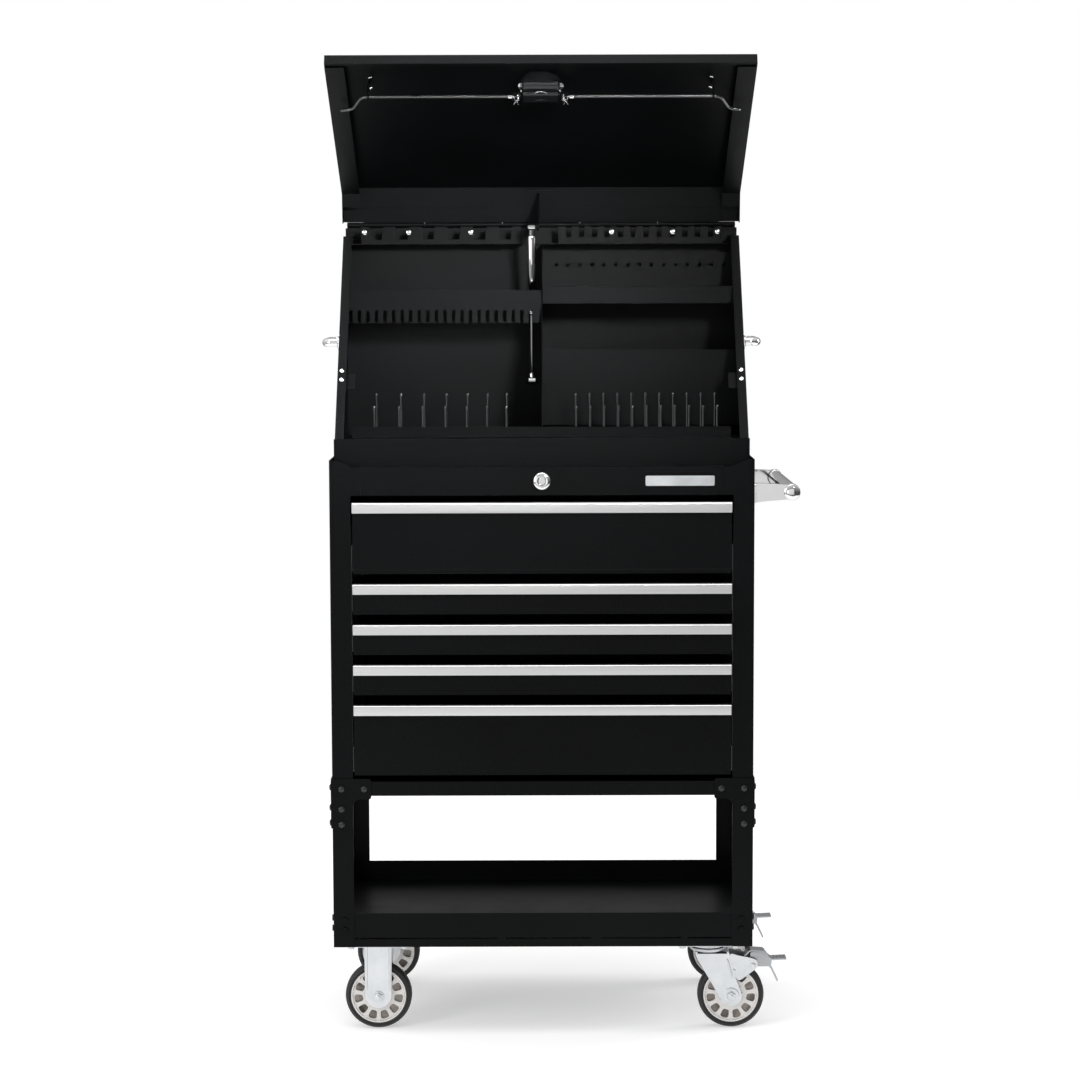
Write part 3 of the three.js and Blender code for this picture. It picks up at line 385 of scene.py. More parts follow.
# %% Metal grain group
def grain_group():
    """Height = noise stretched along one axis. Streak = the same at a coarser scale, for gloss.
    Smudge = soft clouds, as fingers and wiping leave."""
    tree, inner, outer = group(
        "metal_grain",
        [("Vector", "NodeSocketVector", None), ("Stretch", "NodeSocketVector", (20, 900, 900))],
        [("Height", "NodeSocketFloat"), ("Streak", "NodeSocketFloat"), ("Smudge", "NodeSocketFloat")],
    )
    stretched = node(tree, "ShaderNodeVectorMath", operation="MULTIPLY")
    tree.links.new(inner.outputs["Vector"], stretched.inputs[0])
    tree.links.new(inner.outputs["Stretch"], stretched.inputs[1])
    fine = noise(tree, stretched.outputs["Vector"], 1.0, 2.0)
    broad = noise(tree, stretched.outputs["Vector"], 0.3, 2.0)
    smudge = noise(tree, inner.outputs["Vector"], 24.0, 4.0, 0.6)
    tree.links.new(fine, outer.inputs["Height"])
    tree.links.new(broad, outer.inputs["Streak"])
    tree.links.new(ranged(tree, smudge, 0.0, 1.0, 0.35, 0.65), outer.inputs["Smudge"])
    return tree


powder_coat = powder_group()
metal_grain = grain_group()
print("groups", powder_coat.name, metal_grain.name)


# %% [markdown]
# A finish joins one group to a Principled shader: colour, roughness and bump each take one of the
# group's outputs, so gloss and tone change together over a surface.

# %% A finish from a group
def finish(name, shared, settings, low, high, by, rough, rough_by, bump, depth, **shader):
    """A Principled material. Its colour runs from low to high by one output of the shared group,
    its roughness over a range by another, and its bump comes from the group's Height."""
    material = bpy.data.materials.new(name)
    material.use_nodes = True
    tree = material.node_tree
    tree.nodes.clear()
    surface = node(tree, "ShaderNodeBsdfPrincipled")
    output = node(tree, "ShaderNodeOutputMaterial")
    tree.links.new(surface.outputs[0], output.inputs[0])
    place = node(tree, "ShaderNodeTexCoord")
    shared_node = node(tree, "ShaderNodeGroup", node_tree=shared)
    tree.links.new(place.outputs["Object"], shared_node.inputs["Vector"])
    for label, value in settings.items():
        shared_node.inputs[label].default_value = value
    mix = node(tree, "ShaderNodeMix", data_type="RGBA")
    mix.inputs[6].default_value = (*low, 1)
    mix.inputs[7].default_value = (*high, 1)
    tree.links.new(shared_node.outputs[by], mix.inputs[0])
    tree.links.new(mix.outputs[2], surface.inputs["Base Color"])
    tree.links.new(ranged(tree, shared_node.outputs[rough_by], *rough), surface.inputs["Roughness"])
    relief = node(tree, "ShaderNodeBump")
    relief.inputs["Strength"].default_value = bump
    relief.inputs["Distance"].default_value = depth / 1000
    tree.links.new(shared_node.outputs["Height"], relief.inputs["Height"])
    tree.links.new(relief.outputs[0], surface.inputs["Normal"])
    for label, value in shader.items():
        surface.inputs[label.replace("_", " ")].default_value = value
    return material


def grey(value, warm=0.0):
    """A near-neutral colour, a little warmer or cooler."""
    return (value * (1 + warm), value, value * (1 - warm))


# %% The finishes of this chest
# Every colour here that runs by the powder group's third output carries its pale flecks of painted
# glint.
black_powder = finish(
    "black_powder_coat", powder_coat, {"Peel": 650.0}, grey(0.0014, -0.12), grey(0.0075, -0.12),
    "Tone_and_glints", (0.36, 0.46), "Gloss", 0.30, 0.12, Specular_IOR_Level=0.08,
)
black_bolt = finish(
    "black_bolt", powder_coat, {"Peel": 400.0}, grey(0.006, -0.10), grey(0.012, -0.10), "Tone_and_glints",
    (0.16, 0.26), "Gloss", 0.10, 0.05,
)
satin_aluminium = finish(
    "satin_aluminium", metal_grain, {"Stretch": (14, 1400, 1400)}, grey(0.66), grey(0.76), "Streak",
    (0.27, 0.36), "Streak", 0.12, 0.05, Metallic=1.0,
)
zinc_plate = finish(
    "zinc_plated_steel", metal_grain, {"Stretch": (260, 260, 120)}, grey(0.60, -0.03), grey(0.72, -0.02),
    "Smudge", (0.30, 0.44), "Smudge", 0.15, 0.08, Metallic=1.0,
)
# Dark steel: the lock rods' own colour, and painted shade where the slide rails take it.
rod_steel_and_rail_shade = finish(
    "rod_steel_and_rail_shade", metal_grain, {"Stretch": (30, 700, 700)}, grey(0.09), grey(0.15), "Streak",
    (0.26, 0.38), "Smudge", 0.10, 0.05, Metallic=1.0,
)
pedal_steel = finish(
    "pedal_steel", metal_grain, {"Stretch": (120, 500, 500)}, grey(0.34, -0.03), grey(0.46, -0.03),
    "Smudge", (0.30, 0.42), "Streak", 0.12, 0.06, Metallic=1.0,
)
chrome = finish(
    "polished_chrome", metal_grain, {"Stretch": (300, 300, 300)}, grey(0.78), grey(0.84), "Smudge",
    (0.05, 0.10), "Smudge", 0.03, 0.03, Metallic=1.0,
)
tyre_rubber = finish(
    "tyre_rubber", powder_coat, {"Peel": 900.0}, grey(0.012), grey(0.020), "Tone_and_glints",
    (0.55, 0.72), "Gloss", 0.3, 0.1,
)
# A dark metal for the ring inside each wheel core: its dark colour is painted shade for the space that
# the windows look into.
painted_wheel_shade = finish(
    "painted_wheel_shade", metal_grain, {"Stretch": (150, 150, 150)}, grey(0.035, 0.14), grey(0.22, 0.10),
    "Smudge", (0.10, 0.30), "Smudge", 0.4, 0.8, Metallic=1.0,
)
wheel_enamel = finish(
    "wheel_enamel", powder_coat, {"Peel": 500.0}, grey(0.62, 0.03), grey(0.70, 0.02), "Tone_and_glints",
    (0.22, 0.34), "Gloss", 0.12, 0.08, Metallic=0.35,
)
print("finishes", len(bpy.data.materials))

# %% Finishes on the CAD nodes that stay
# The slide rails are only seen through thin gaps, where a bright plating would draw a line, so
# instead of their plating they take the dark steel, as painted shade.
SLOT_FINISH = {
    "powder_coated_steel": black_powder,
    "satin_aluminium": satin_aluminium,
    "zinc_plated_steel": zinc_plate,
    "chrome": chrome,
    "caster_wheel": wheel_enamel,
}
for part in frame["record"]["subparts"]:
    solid = frame["nodes"][part["node"]]
    solid.data.materials.clear()
    # True for the slide rails, which take the dark steel as painted shade.
    rail_in_shade = part["node"].endswith("slide_rails")
    solid.data.materials.append(rod_steel_and_rail_shade if rail_in_shade else SLOT_FINISH[part["material_slot"]])
print("CAD nodes painted", len(frame["nodes"]))

# %% [markdown]
# ## Wheels
# Each caster wheel is a pale core with eleven windows and a black rubber tyre. One sector
# of the core is a grid in polar coordinates: it starts at the window's rounded edge and spreads
# until it fills the sector, so eleven turned copies meet exactly and no cutting is needed. A dark
# ring fills the space inside the core that the windows look into; its dark colour is painted shade.

# %% Core and tyre
CORNERS = ("front_left", "front_right", "rear_left", "rear_right")
low, high = node_mm("front_left_wheel")
WHEEL_RADIUS = (high[2] - low[2]) / 2
CORE_IN, CORE_OUT, WINDOWS = 9.0, 50.6, 11
WINDOW_MIDDLE, WINDOW_HALF, WINDOW_TURN = 37.0, 7.9, 0.19


def core_height(radius):
    """Half width of the core at a radius: a hub boss, a flat web, and a raised lip at the rim."""
    lip = np.clip((radius - 46.4) / 1.6, 0, 1)
    hub = np.clip((20.0 - radius) / 3, 0, 1)
    return 11.5 + 2.3 * lip * lip * (3 - 2 * lip) + 3.5 * hub * hub * (3 - 2 * hub)


def wheel_core(centre, around=40, out=9):
    """Polar radius and angle run from a superellipse, the window's edge, to a rectangle, the
    sector's edge. Height is core_height on the front face and its negative on the back."""
    u = np.arange(around) * 2 * pi / around
    spoke = np.stack([np.cos(u), np.sin(u)])
    square = spoke / np.abs(spoke).max(0)
    window = np.sign(spoke) * np.abs(spoke) ** 0.55
    v = (np.linspace(0, 1, out) ** 0.8)[:, None]
    middle, half = (CORE_IN + CORE_OUT) / 2, (CORE_OUT - CORE_IN) / 2
    radius = (1 - v) * (WINDOW_MIDDLE + WINDOW_HALF * window[0]) + v * (middle + half * square[0])
    angle = (1 - v) * WINDOW_TURN * window[1] + v * pi / WINDOWS * square[1]
    height = core_height(radius)
    sheet_faces = grid_faces(out, around, close_columns=True)
    count = out * around
    faces = sheet_faces + [[count + i for i in face] for face in sheet_faces]
    edge = np.arange(around)
    after = (edge + 1) % around
    faces += np.stack([edge, after, after + count, edge + count], 1).tolist()
    rim = edge[np.abs(square[0]) > 0.999]
    rim = rim[np.isin((rim + 1) % around, rim)] + (out - 1) * around
    beyond = (rim + 1 - (out - 1) * around) % around + (out - 1) * around
    faces += np.stack([rim, beyond, beyond + count, rim + count], 1).tolist()
    shells = []
    for k in range(WINDOWS):
        turn = angle + (2 * k + 1) * pi / WINDOWS - pi / 2
        face = [np.stack([radius * np.cos(turn), sign * height, radius * np.sin(turn)], -1)
                for sign in (-1, 1)]
        shells.append((np.vstack([f.reshape(-1, 3) for f in face]) + centre, faces))
    return together(*shells)


# Half widths and radii of the tyre: a bead at the core, a bulged wall and a flat tread.
TYRE = [(50.4, -13.0), (52.2, -14.6), (53.4, -14.9), (54.0, -14.2), (54.6, -14.9), (56.6, -14.6),
        (58.8, -13.0), (60.3, -10.2), (61.0, -6.0), (61.0, 6.0), (60.3, 10.2), (58.8, 13.0),
        (56.6, 14.6), (54.6, 14.9), (54.0, 14.2), (53.4, 14.9), (52.2, 14.6), (50.4, 13.0)]

# The ring inside the core, between its two faces; its colour is painted shade.
SHADE_RING_PROFILE = [(19, -7), (33, -5.5), (46.6, -7), (46.6, 7), (33, 5.5), (19, 7)]

for corner in CORNERS:
    low, high = node_mm(f"{corner}_wheel")
    centre = (low + high) / 2
    body = f"{corner}_wheel"
    piece(f"{corner}_wheel_core", wheel_core(centre), wheel_enamel, body,
          [f"{corner}_wheel"], crease=40, bevel=0.5)
    shade_ring = turned(SHADE_RING_PROFILE, centre, (0, 1, 0), 64, ring=True)
    piece(f"{corner}_wheel_shade_ring", shade_ring, painted_wheel_shade, body)
    piece(f"{corner}_tyre", turned(TYRE, centre, (0, 1, 0), 96, ring=True), tyre_rubber, body)

# %% [markdown]
# ## Fasteners
# Screws, bolts and rivets are small, but their highlights tell the eye that sheets are held
# together. One turned dome does for all of them, with a washer under it where there is one.

# %% Domes and hexagons
def dome(centre, axis, radius, height, washer=0.0, turns=20):
    """A button head: a low cylinder whose top follows a quarter of an ellipse."""
    bend = np.radians([0, 20, 40, 60, 76])
    profile = [(radius, 0.0)] + [
        (radius * cos(b), height * (0.35 + 0.65 * sin(b))) for b in bend
    ] + [(radius * 0.08, height)]
    shells = [turned(profile, centre, axis, turns)]
    if washer:
        disc = [(washer - 0.3, 0), (washer, 0.3), (washer, 0.9), (washer - 0.3, 1.2)]
        shells.append(turned(disc, centre, axis, turns))
        shells[0] = moved(shells[0], axes_of(axis)[2] * 1.0)
    return together(*shells)


def hexagon(centre, axis, radius, height):
    """A nut or bolt head: six sides, its top corners cut back."""
    profile = [(radius, 0), (radius, height * 0.8), (radius * 0.86, height), (radius * 0.2, height)]
    return turned(profile, centre, axis, 6)


# %% [markdown]
# ## Rigid casters
# The two left casters don't turn. Each has a plate bolted under the stand and a pressed zinc fork
# of two long cheeks with round ends. The axle's nut sits on a washer at the round end.

# %% Rigid forks
CASTER_TOP, PLATE = 162.7, 3.7
PLATE_HALF, BOLT_SPACING = (58.5, 45.0), (48, 34)
PLATE_LOW = CASTER_TOP - PLATE
CHEEK_IN, CHEEK_OUT, RIB = 19.0, 22.0, 1.7
RIGID_HALF = 25.0


def top_plate(x, y):
    """The mounting plate and its four bolts, heads down."""
    low = (x - PLATE_HALF[0], y - PLATE_HALF[1], PLATE_LOW)
    high = (x + PLATE_HALF[0], y + PLATE_HALF[1], CASTER_TOP)
    across, along = BOLT_SPACING
    heads = [dome((x + i * across, y + j * along, PLATE_LOW), (0, 0, -1), 6.4, 5, 8.2)
             for i in (-1, 1) for j in (-1, 1)]
    return together(block(low, high, 9, "z"), *heads)


def axle_ends(x, y, z):
    """Washer, nut and the axle's own end on both cheeks."""
    shells = []
    for end in (-1, 1):
        start = np.array([x, y + end * CHEEK_OUT, z])
        axis = (0, end, 0)
        washer = [(10.6, 0), (11, 0.4), (11, 1.0), (10.4, 1.6)]
        shells.append(turned(washer, start, axis, 40))
        shells.append(hexagon(start + (0, end * 1.5, 0), axis, 8.4, 4.6))
        shells.append(dome(start + (0, end * 6.0, 0), axis, 4.6, 1.6))
    shells.append(turned([(5, -CHEEK_OUT), (5, CHEEK_OUT)], (x, y, z), (0, 1, 0), 24))
    return together(*shells)


def rigid_cheek(x, y, end):
    """A cheek with a round foot, bulged outwards along two pressed ribs."""
    outline = [(x + RIGID_HALF, PLATE_LOW), (x - RIGID_HALF, PLATE_LOW)]
    outline += arc((x, WHEEL_RADIUS + 3.2), RIGID_HALF - 0.8, 180, 360, 20)
    near, far = sorted((y + end * CHEEK_IN, y + end * CHEEK_OUT))
    cheek = pushed(outline, near, far, "y")
    ribs = []
    for side in (-1, 1):
        rib = x + side * (RIGID_HALF - 4.2)
        path = [(rib, y + end * CHEEK_OUT, z) for z in np.linspace(72, PLATE_LOW, 14)]
        size = np.concatenate([[0.1, 0.6], np.ones(12)])
        ribs.append(carried(path, circle(RIB, 12), (0, 1, 0), size))
    return together(cheek, *ribs)


for corner in ("front_left", "rear_left"):
    low, high = node_mm(f"{corner}_wheel")
    x, y, z = (low + high) / 2
    cheeks = together(rigid_cheek(x, y, -1), rigid_cheek(x, y, 1))
    crown = block((x - RIGID_HALF, y - CHEEK_OUT, PLATE_LOW - 3),
                  (x + RIGID_HALF, y + CHEEK_OUT, PLATE_LOW + 0.2), 1, "z")
    piece(f"{corner}_fork_cheeks", together(cheeks, crown), zinc_plate, "root",
          [f"{corner}_fork"], bevel=0.7)
    piece(f"{corner}_fork_plate", top_plate(x, y), zinc_plate, "root",
          bevel=0.4)
    piece(f"{corner}_axle", axle_ends(x, y, z), zinc_plate, "root", bevel=0.25)

# %% [markdown]
# ## Swivel casters
# The two right casters turn on a ball race between two discs. The wheel trails behind the turning
# axis, so the cheeks slant. A brake lever hangs on a pin between two side plates.

# %% Swivel plates, races and forks
FORK_TOP = 143.4
BRAKE_PIN = (82.0, 118.0)


def swivel_top(x, y):
    """Plate, upper race with its rolled rim, and the kingpin's nut below."""
    race = [(12, 151.0), (29.5, 151.0), (31, 152.2), (31.4, 154), (30, 156.4), (25, 157.2),
            (24, 159.2), (12, 159.2)]
    pin = [(6, 130), (6, 152)]
    nut = hexagon((x, y, 139.2), (0, 0, -1), 10.5, 8)
    return together(top_plate(x, y), turned(race, (x, y, 0), (0, 0, 1), 64, ring=True),
                    turned(pin, (x, y, 0), (0, 0, 1), 24), nut)


def swivel_race(x, y):
    """The lower race: a dished disc whose rim is rolled up round the balls."""
    profile = [(7, 143), (26, 143), (30, 144.2), (33.2, 146.6), (34, 148.8), (33, 150.4),
               (31.4, 150.2), (30, 148.4), (26, 147), (7, 147)]
    return turned(profile, (x, y, 0), (0, 0, 1), 64, ring=True)


def swivel_cheek(x, y, end, wheel):
    """The slanting cheek, widest under the race and round at the axle."""
    outline = [(x - 24, FORK_TOP), (x - 21, 132)]
    outline += arc((wheel[0], wheel[2]), 19.5, 202, 372, 18)
    outline += [(x + 51, 92), (x + 41, 128), (x + 38, FORK_TOP)]
    near, far = sorted((y + end * CHEEK_IN, y + end * CHEEK_OUT))
    boss = turned([(15.5, 0), (15.2, 1.0), (14, 1.5), (12.4, 1.5)],
                  (wheel[0], y + end * CHEEK_OUT, wheel[2]), (0, end, 0), 40)
    face = y + end * CHEEK_OUT
    path = np.linspace((x + 45.5, face, 92), (x + 34, face, 132), 14)
    size = np.concatenate([[0.1, 0.6], np.ones(10), [0.6, 0.1]])
    rib = carried(path, circle(RIB, 12), (0, 1, 0), size)
    return together(pushed(softened(outline, 5, 5, closed=True), near, far, "y"), boss, rib)


def brake_cheek(x, y, end):
    """The side plate that holds the brake's pin, set just inside the cheek."""
    outline = [(x + 40, 141), (x + 36, 116), (x + 56, 88), (x + 78, 104), (x + 91, 114),
               (x + 90, 128), (x + 74, 133), (x + 56, 136)]
    near, far = sorted((y + end * (CHEEK_IN + 0.2), y + end * (CHEEK_IN + 2.2)))
    plate = pushed(softened(outline, 6, 5, closed=True), near, far, "y")
    dimples = [dome((x + 47, y + end * (CHEEK_OUT - 0.2), 108), (0, end, 0), 3.4, 1.2),
               dome((x + BRAKE_PIN[0], y + end * (CHEEK_IN + 2.2), BRAKE_PIN[1]), (0, end, 0), 5, 2.2)]
    return together(plate, *dimples)


for corner in ("front_right", "rear_right"):
    low, high = node_mm(f"{corner}_swivel_plate")
    x, y = (low[0] + high[0]) / 2, (low[1] + high[1]) / 2
    low, high = node_mm(f"{corner}_wheel")
    wheel = (low + high) / 2
    body = f"{corner}_caster"
    piece(f"{corner}_swivel_top", swivel_top(x, y), zinc_plate, "root",
          [f"{corner}_swivel_plate"], bevel=0.4)
    crown = block((x - 24, y - CHEEK_OUT, FORK_TOP - 3.6), (x + 38, y + CHEEK_OUT, FORK_TOP), 4, "z")
    cheeks = [swivel_cheek(x, y, end, wheel) for end in (-1, 1)]
    piece(f"{corner}_swivel_fork", together(swivel_race(x, y), crown, *cheeks), zinc_plate, body,
          [f"{corner}_fork"], bevel=0.6)
    sides = [brake_cheek(x, y, end) for end in (-1, 1)]
    pin = turned([(3.4, -20), (3.4, 20)], (x + BRAKE_PIN[0], y, BRAKE_PIN[1]), (0, 1, 0), 20)
    piece(f"{corner}_brake_sides", together(*sides, pin), zinc_plate, body,
          bevel=0.4)
    piece(f"{corner}_axle", axle_ends(*wheel), zinc_plate, body, bevel=0.25)

# %% [markdown]
# ## Brake pedals
# The pedal is one pressed strip: a raised box at the root, a dip, and a flat tread for the toe. A
# second, lower lip is pushed to let the brake go. The tread has a row of pressed ribs.

# %% Brake pedals
def pedal(x, y):
    """Folded strips pushed 30 mm wide, a collar on the pin and ribs across the tread."""
    px, pz = x + BRAKE_PIN[0], BRAKE_PIN[1]
    tread = folded([(px - 16, pz + 16), (px - 6, pz + 27), (px + 21, pz + 25.4), (px + 32, pz + 10),
                    (px + 62, pz + 11.5)], 2.6, 4)
    release = folded([(px + 24, pz + 8), (px + 36, pz - 8), (px + 47, pz - 31)], 2.6, 4)
    web = softened([(px + 4, pz - 4), (px + 34, pz - 4), (px + 35, pz + 9), (px + 20, pz + 23),
                    (px - 4, pz + 23), (px - 6, pz + 6)], 3, 4, closed=True)
    collar = turned([(8, -14.5), (8, 14.5)], (px, y, pz), (0, 1, 0), 32)
    ribs = [carried([(px + along, y - 11, pz + 10.6), (px + along, y + 11, pz + 10.6)],
                    circle(1.3, 10), (0, 0, 1)) for along in (40, 46, 52, 58)]
    webs = [pushed(web, y + at - 1, y + at + 1, "y") for at in (-13.2, 13.2)]
    return together(pushed(tread, y - 15, y + 15, "y"), pushed(release, y - 13, y + 13, "y"),
                    collar, *webs, *ribs)


for corner in ("front_right", "rear_right"):
    low, high = node_mm(f"{corner}_swivel_plate")
    shell = pedal((low[0] + high[0]) / 2, (low[1] + high[1]) / 2)
    piece(f"{corner}_pedal", shell, pedal_steel, f"{corner}_brake",
          [f"{corner}_brake_pedal"], bevel=0.5)

# %% [markdown]
# ## Push handle and carry handles
# The push handle is a broad tube between two cast arms on the right side. The carry handles are
# bent tubes. Both are chrome, so what shows is the room: a smooth turn at each bend matters more
# than any texture. The carry handle's section is swept along one softened line, which gives the
# bend its even thickness.

# %% Push handle
low, high = node_mm("push_handle")
GRIP_X, GRIP_Z = high[0] - 12.5, low[2] + 22.0
ROOT_X, GRIP = low[0], 13.6
ARM_Y = (40.0, 400.0)


def handle_arm(y, outward):
    """A cast arm: two straight sides from the root to the grip, its foot plate, two screws, and
    the socket that holds the tube, ended with a dome."""
    top = [(ROOT_X + 3, GRIP_Z + 16), (ROOT_X + 24, GRIP_Z + 15.4), (GRIP_X, GRIP_Z + 13)]
    under = [(GRIP_X, GRIP_Z - 13), (ROOT_X + 24, GRIP_Z - 16.5), (ROOT_X + 3, GRIP_Z - 19)]
    arm = pushed(softened(under[::-1] + top[::-1], 3, 4, closed=True), y - 8.6, y + 8.6, "y")
    foot = block((ROOT_X, y - 16, GRIP_Z - 22), (ROOT_X + 4, y + 16, GRIP_Z + 16), 5, "x")
    screws = [dome((ROOT_X + 4, y + i * 12.4, GRIP_Z - 3), (1, 0, 0), 2.6, 1.4) for i in (-1, 1)]
    socket = [(11, -11), (14, -11), (15, -10), (15, 7), (14.2, 9.4), (11.8, 11), (6, 11.8),
              (1, 12)]
    return together(arm, foot, *screws, turned(socket, (GRIP_X, y, GRIP_Z), (0, outward, 0), 56))


arms = [handle_arm(ARM_Y[0], -1), handle_arm(ARM_Y[1], 1)]
piece("push_handle_arms", together(*arms), chrome, "root", ["push_handle"], bevel=1.6)
bar = [(1, ARM_Y[0] - 2), (GRIP, ARM_Y[0] - 2), (GRIP, ARM_Y[1] + 2), (1, ARM_Y[1] + 2)]
piece("push_handle_bar", turned(bar, (GRIP_X, 0, GRIP_Z), (0, 1, 0), 64), chrome, "root")


print("push handle", round(ARM_Y[1] - ARM_Y[0]), "between its arms")

# %% [markdown]
# Each carry handle is one bent tube. Its square line is softened first, so the section turns
# smoothly with it, and flat feet with two screws each hold it to the toolbox's side.

# %% Carry handles
def carry_handle(side):
    """A tube along a softened square line, flattened feet and their screws."""
    low, high = node_mm(f"{'left' if side < 0 else 'right'}_carry_handle")
    root = low[0] if side > 0 else -high[0]
    grip = (high[0] if side > 0 else -low[0]) - 8.6
    y0, y1, z = low[1] + 12, high[1] - 12, (low[2] + high[2]) / 2
    line = softened([(root + 1, y0, z), (grip, y0, z), (grip, y1, z), (root + 1, y1, z)], 17, 12)
    tube = carried(line, circle(7.8, 32), (0, 0, 1))
    shells = [tube]
    for y in (y0, y1):
        shells.append(block((root, y - 12, z - 16), (root + 3, y + 12, z + 16), 6, "x"))
        shells += [dome((root + 3, y, z + rise), (1, 0, 0), 3.0, 1.6) for rise in (-11.6, 11.6)]
        shells.append(turned([(10.5, 0), (10.5, 1.5), (8, 3.4)], (root + 2.6, y, z), (1, 0, 0), 40))
    shell = together(*shells)
    return mirrored(shell) if side < 0 else shell


for name, side in (("left", -1), ("right", 1)):
    piece(f"{name}_carry_tube", carry_handle(side), chrome, "root",
          [f"{name}_carry_handle"], bevel=0.6)

# %% [markdown]
# ## Lock, badge plate and pulls
# The lock is turned brass under chrome: a bezel with a soft shoulder and a plug with a keyway.
# The pulls are one aluminium extrusion each: a hooked lip whose edges are rounded by the die.

# %% Lock
low, high = node_mm("lock_body")
LOCK_Z = (low[2] + high[2]) / 2
FACE = low[1]
bezel = [(6.9, FACE + 0.5), (8.4, FACE + 0.1), (10.5, FACE), (12.9, FACE + 0.5), (14.9, FACE + 1.6),
         (15.8, FACE + 2.9), (15.9, -TOUCH), (6.9, -TOUCH)]
barrel = [(6.9, -TOUCH), (9.4, -TOUCH), (9.4, high[1]), (6.9, high[1])]
piece("lock_bezel", together(turned(bezel, (0, 0, LOCK_Z), (0, 1, 0), 72, ring=True),
                             turned(barrel, (0, 0, LOCK_Z), (0, 1, 0), 40, ring=True)),
      chrome, "root", ["lock_body"])


def plug(radius=6.5, slot=(1.0, 4.4), around=48, out=5):
    """The plug's face runs in rings from the keyway's rectangle to the round edge. Behind both
    the wall and the keyway go straight back."""
    low, high = node_mm("lock_plug")
    a = np.arange(around) * 2 * pi / around
    spoke = np.stack([np.cos(a), np.sin(a)])
    square = spoke / np.abs(spoke).max(0)
    v = np.linspace(0, 1, out)[:, None]
    x = (1 - v) * slot[0] * square[0] + v * radius * 0.94 * spoke[0]
    z = (1 - v) * slot[1] * square[1] + v * radius * 0.94 * spoke[1]
    rings = [np.stack([x[0], np.full(around, low[1] + 4.5), z[0]], 1)]
    rings += [np.stack([x[i], np.full(around, low[1]), z[i]], 1) for i in range(out)]
    rings += [np.stack([radius * spoke[0], np.full(around, y), radius * spoke[1]], 1)
              for y in (low[1] + 0.4, high[1])]
    faces = grid_faces(len(rings), around, close_columns=True)
    last = (len(rings) - 1) * around
    faces += [list(range(around)), list(range(last, last + around))]
    return np.vstack(rings) + (0, 0, LOCK_Z), faces


piece("lock_plug_face", plug(), chrome, "lock_plug", ["lock_plug"])

print("lock at", round(LOCK_Z, 1), "over the floor")

# %% Pulls
PULL_PROUD, PULL_HIGH = 12.0, 18.5


def pull(low, high):
    """The hooked section: up the drawer's face, over the top on a round of 3 mm and down the
    lip, which leans in by a degree or two."""
    top, bottom = high[2], high[2] - PULL_HIGH
    line = [(-TOUCH, bottom), (-TOUCH, top), (-PULL_PROUD, top), (-PULL_PROUD + 1, bottom + 1.5)]
    outline = folded(line[::-1], -1.6, 3.4)
    return pushed(outline, low[0], high[0], "x")


for number in range(1, 6):
    shell = pull(*node_mm(f"drawer_{number}_pull"))
    piece(f"drawer_{number}_pull_lip", shell, satin_aluminium, f"drawer_{number}",
          [f"drawer_{number}_pull"], bevel=0.35)

# %% Blank badge plate
BADGE_LEFT, BADGE_RIGHT, BADGE_LOW, BADGE_TOP, BADGE_FACE = 185.5, 309.0, 1004.0, 1022.0, -1.9
badge = block((BADGE_LEFT, BADGE_FACE, BADGE_LOW), (BADGE_RIGHT, -TOUCH, BADGE_TOP), 3, "y")
piece("blank_badge_plate", badge, zinc_plate, "root", bevel=0.5)

# %% [markdown]
# ## Lid fittings
# The lid's pieces are easiest to draw on the closed lid, by how far up the slant and how deep
# under the sheet they are. The record says where the hinge is, so the same numbers are turned
# open about it. A latch in the middle pulls two round rods that bend up to the side strikes.

# %% From the closed lid to the open one
joints = {joint["name"]: joint for joint in frame["record"]["behaviour"]["joints"]}
lid_joint = joints["lid_hinge"]
HINGE = (np.array(lid_joint["pos_m"]) - ORIGIN)[1:] * 1000
OPEN = radians(lid_joint["range_deg"][1])
LID_EDGE = np.array([37.2, 1099.5])
FOLD = HINGE + (-72, 0)
SLANT = atan2(*(FOLD - LID_EDGE))
UP = np.array([sin(SLANT), cos(SLANT)])
INTO = np.array([cos(SLANT), -sin(SLANT)])


def lid_turned(flat, turn=OPEN):
    """Points (y, z) turned about the hinge, from the closed lid to the open one."""
    y, z = (flat - HINGE).T
    return np.stack([y * cos(turn) + z * sin(turn), z * cos(turn) - y * sin(turn)], 1) + HINGE


def opened(shell, turn=OPEN):
    """The same shell with its points (x, up, depth) on the closed lid turned open."""
    x, up, depth = np.asarray(shell[0], float).T
    flat = LID_EDGE + np.outer(up, UP) + np.outer(depth, INTO)
    return np.column_stack([x, lid_turned(flat, turn)]), shell[1]


print("lid open", round(np.degrees(OPEN), 1), "degrees, slant", round(np.degrees(SLANT), 1))

# %% [markdown]
# Each lock rod is one round bar with two easy bends. It hooks into a clevis on the latch, which is
# held by a pin and a split cotter, and all of these small round pieces glint against the black.

# %% Lock rods and clevises
ROD_UP, ROD_DEEP, CATCH_UP = 89.0, 30.0, 135.0


def lock_rod():
    """A round rod along a softened bend."""
    line = [(50, ROD_UP, ROD_DEEP), (318, ROD_UP, ROD_DEEP), (336, 131.3, ROD_DEEP),
            (357.7, CATCH_UP, ROD_DEEP)]
    return opened(carried(softened(line, 12, 10), circle(3, 20), (0, 0, 1)))


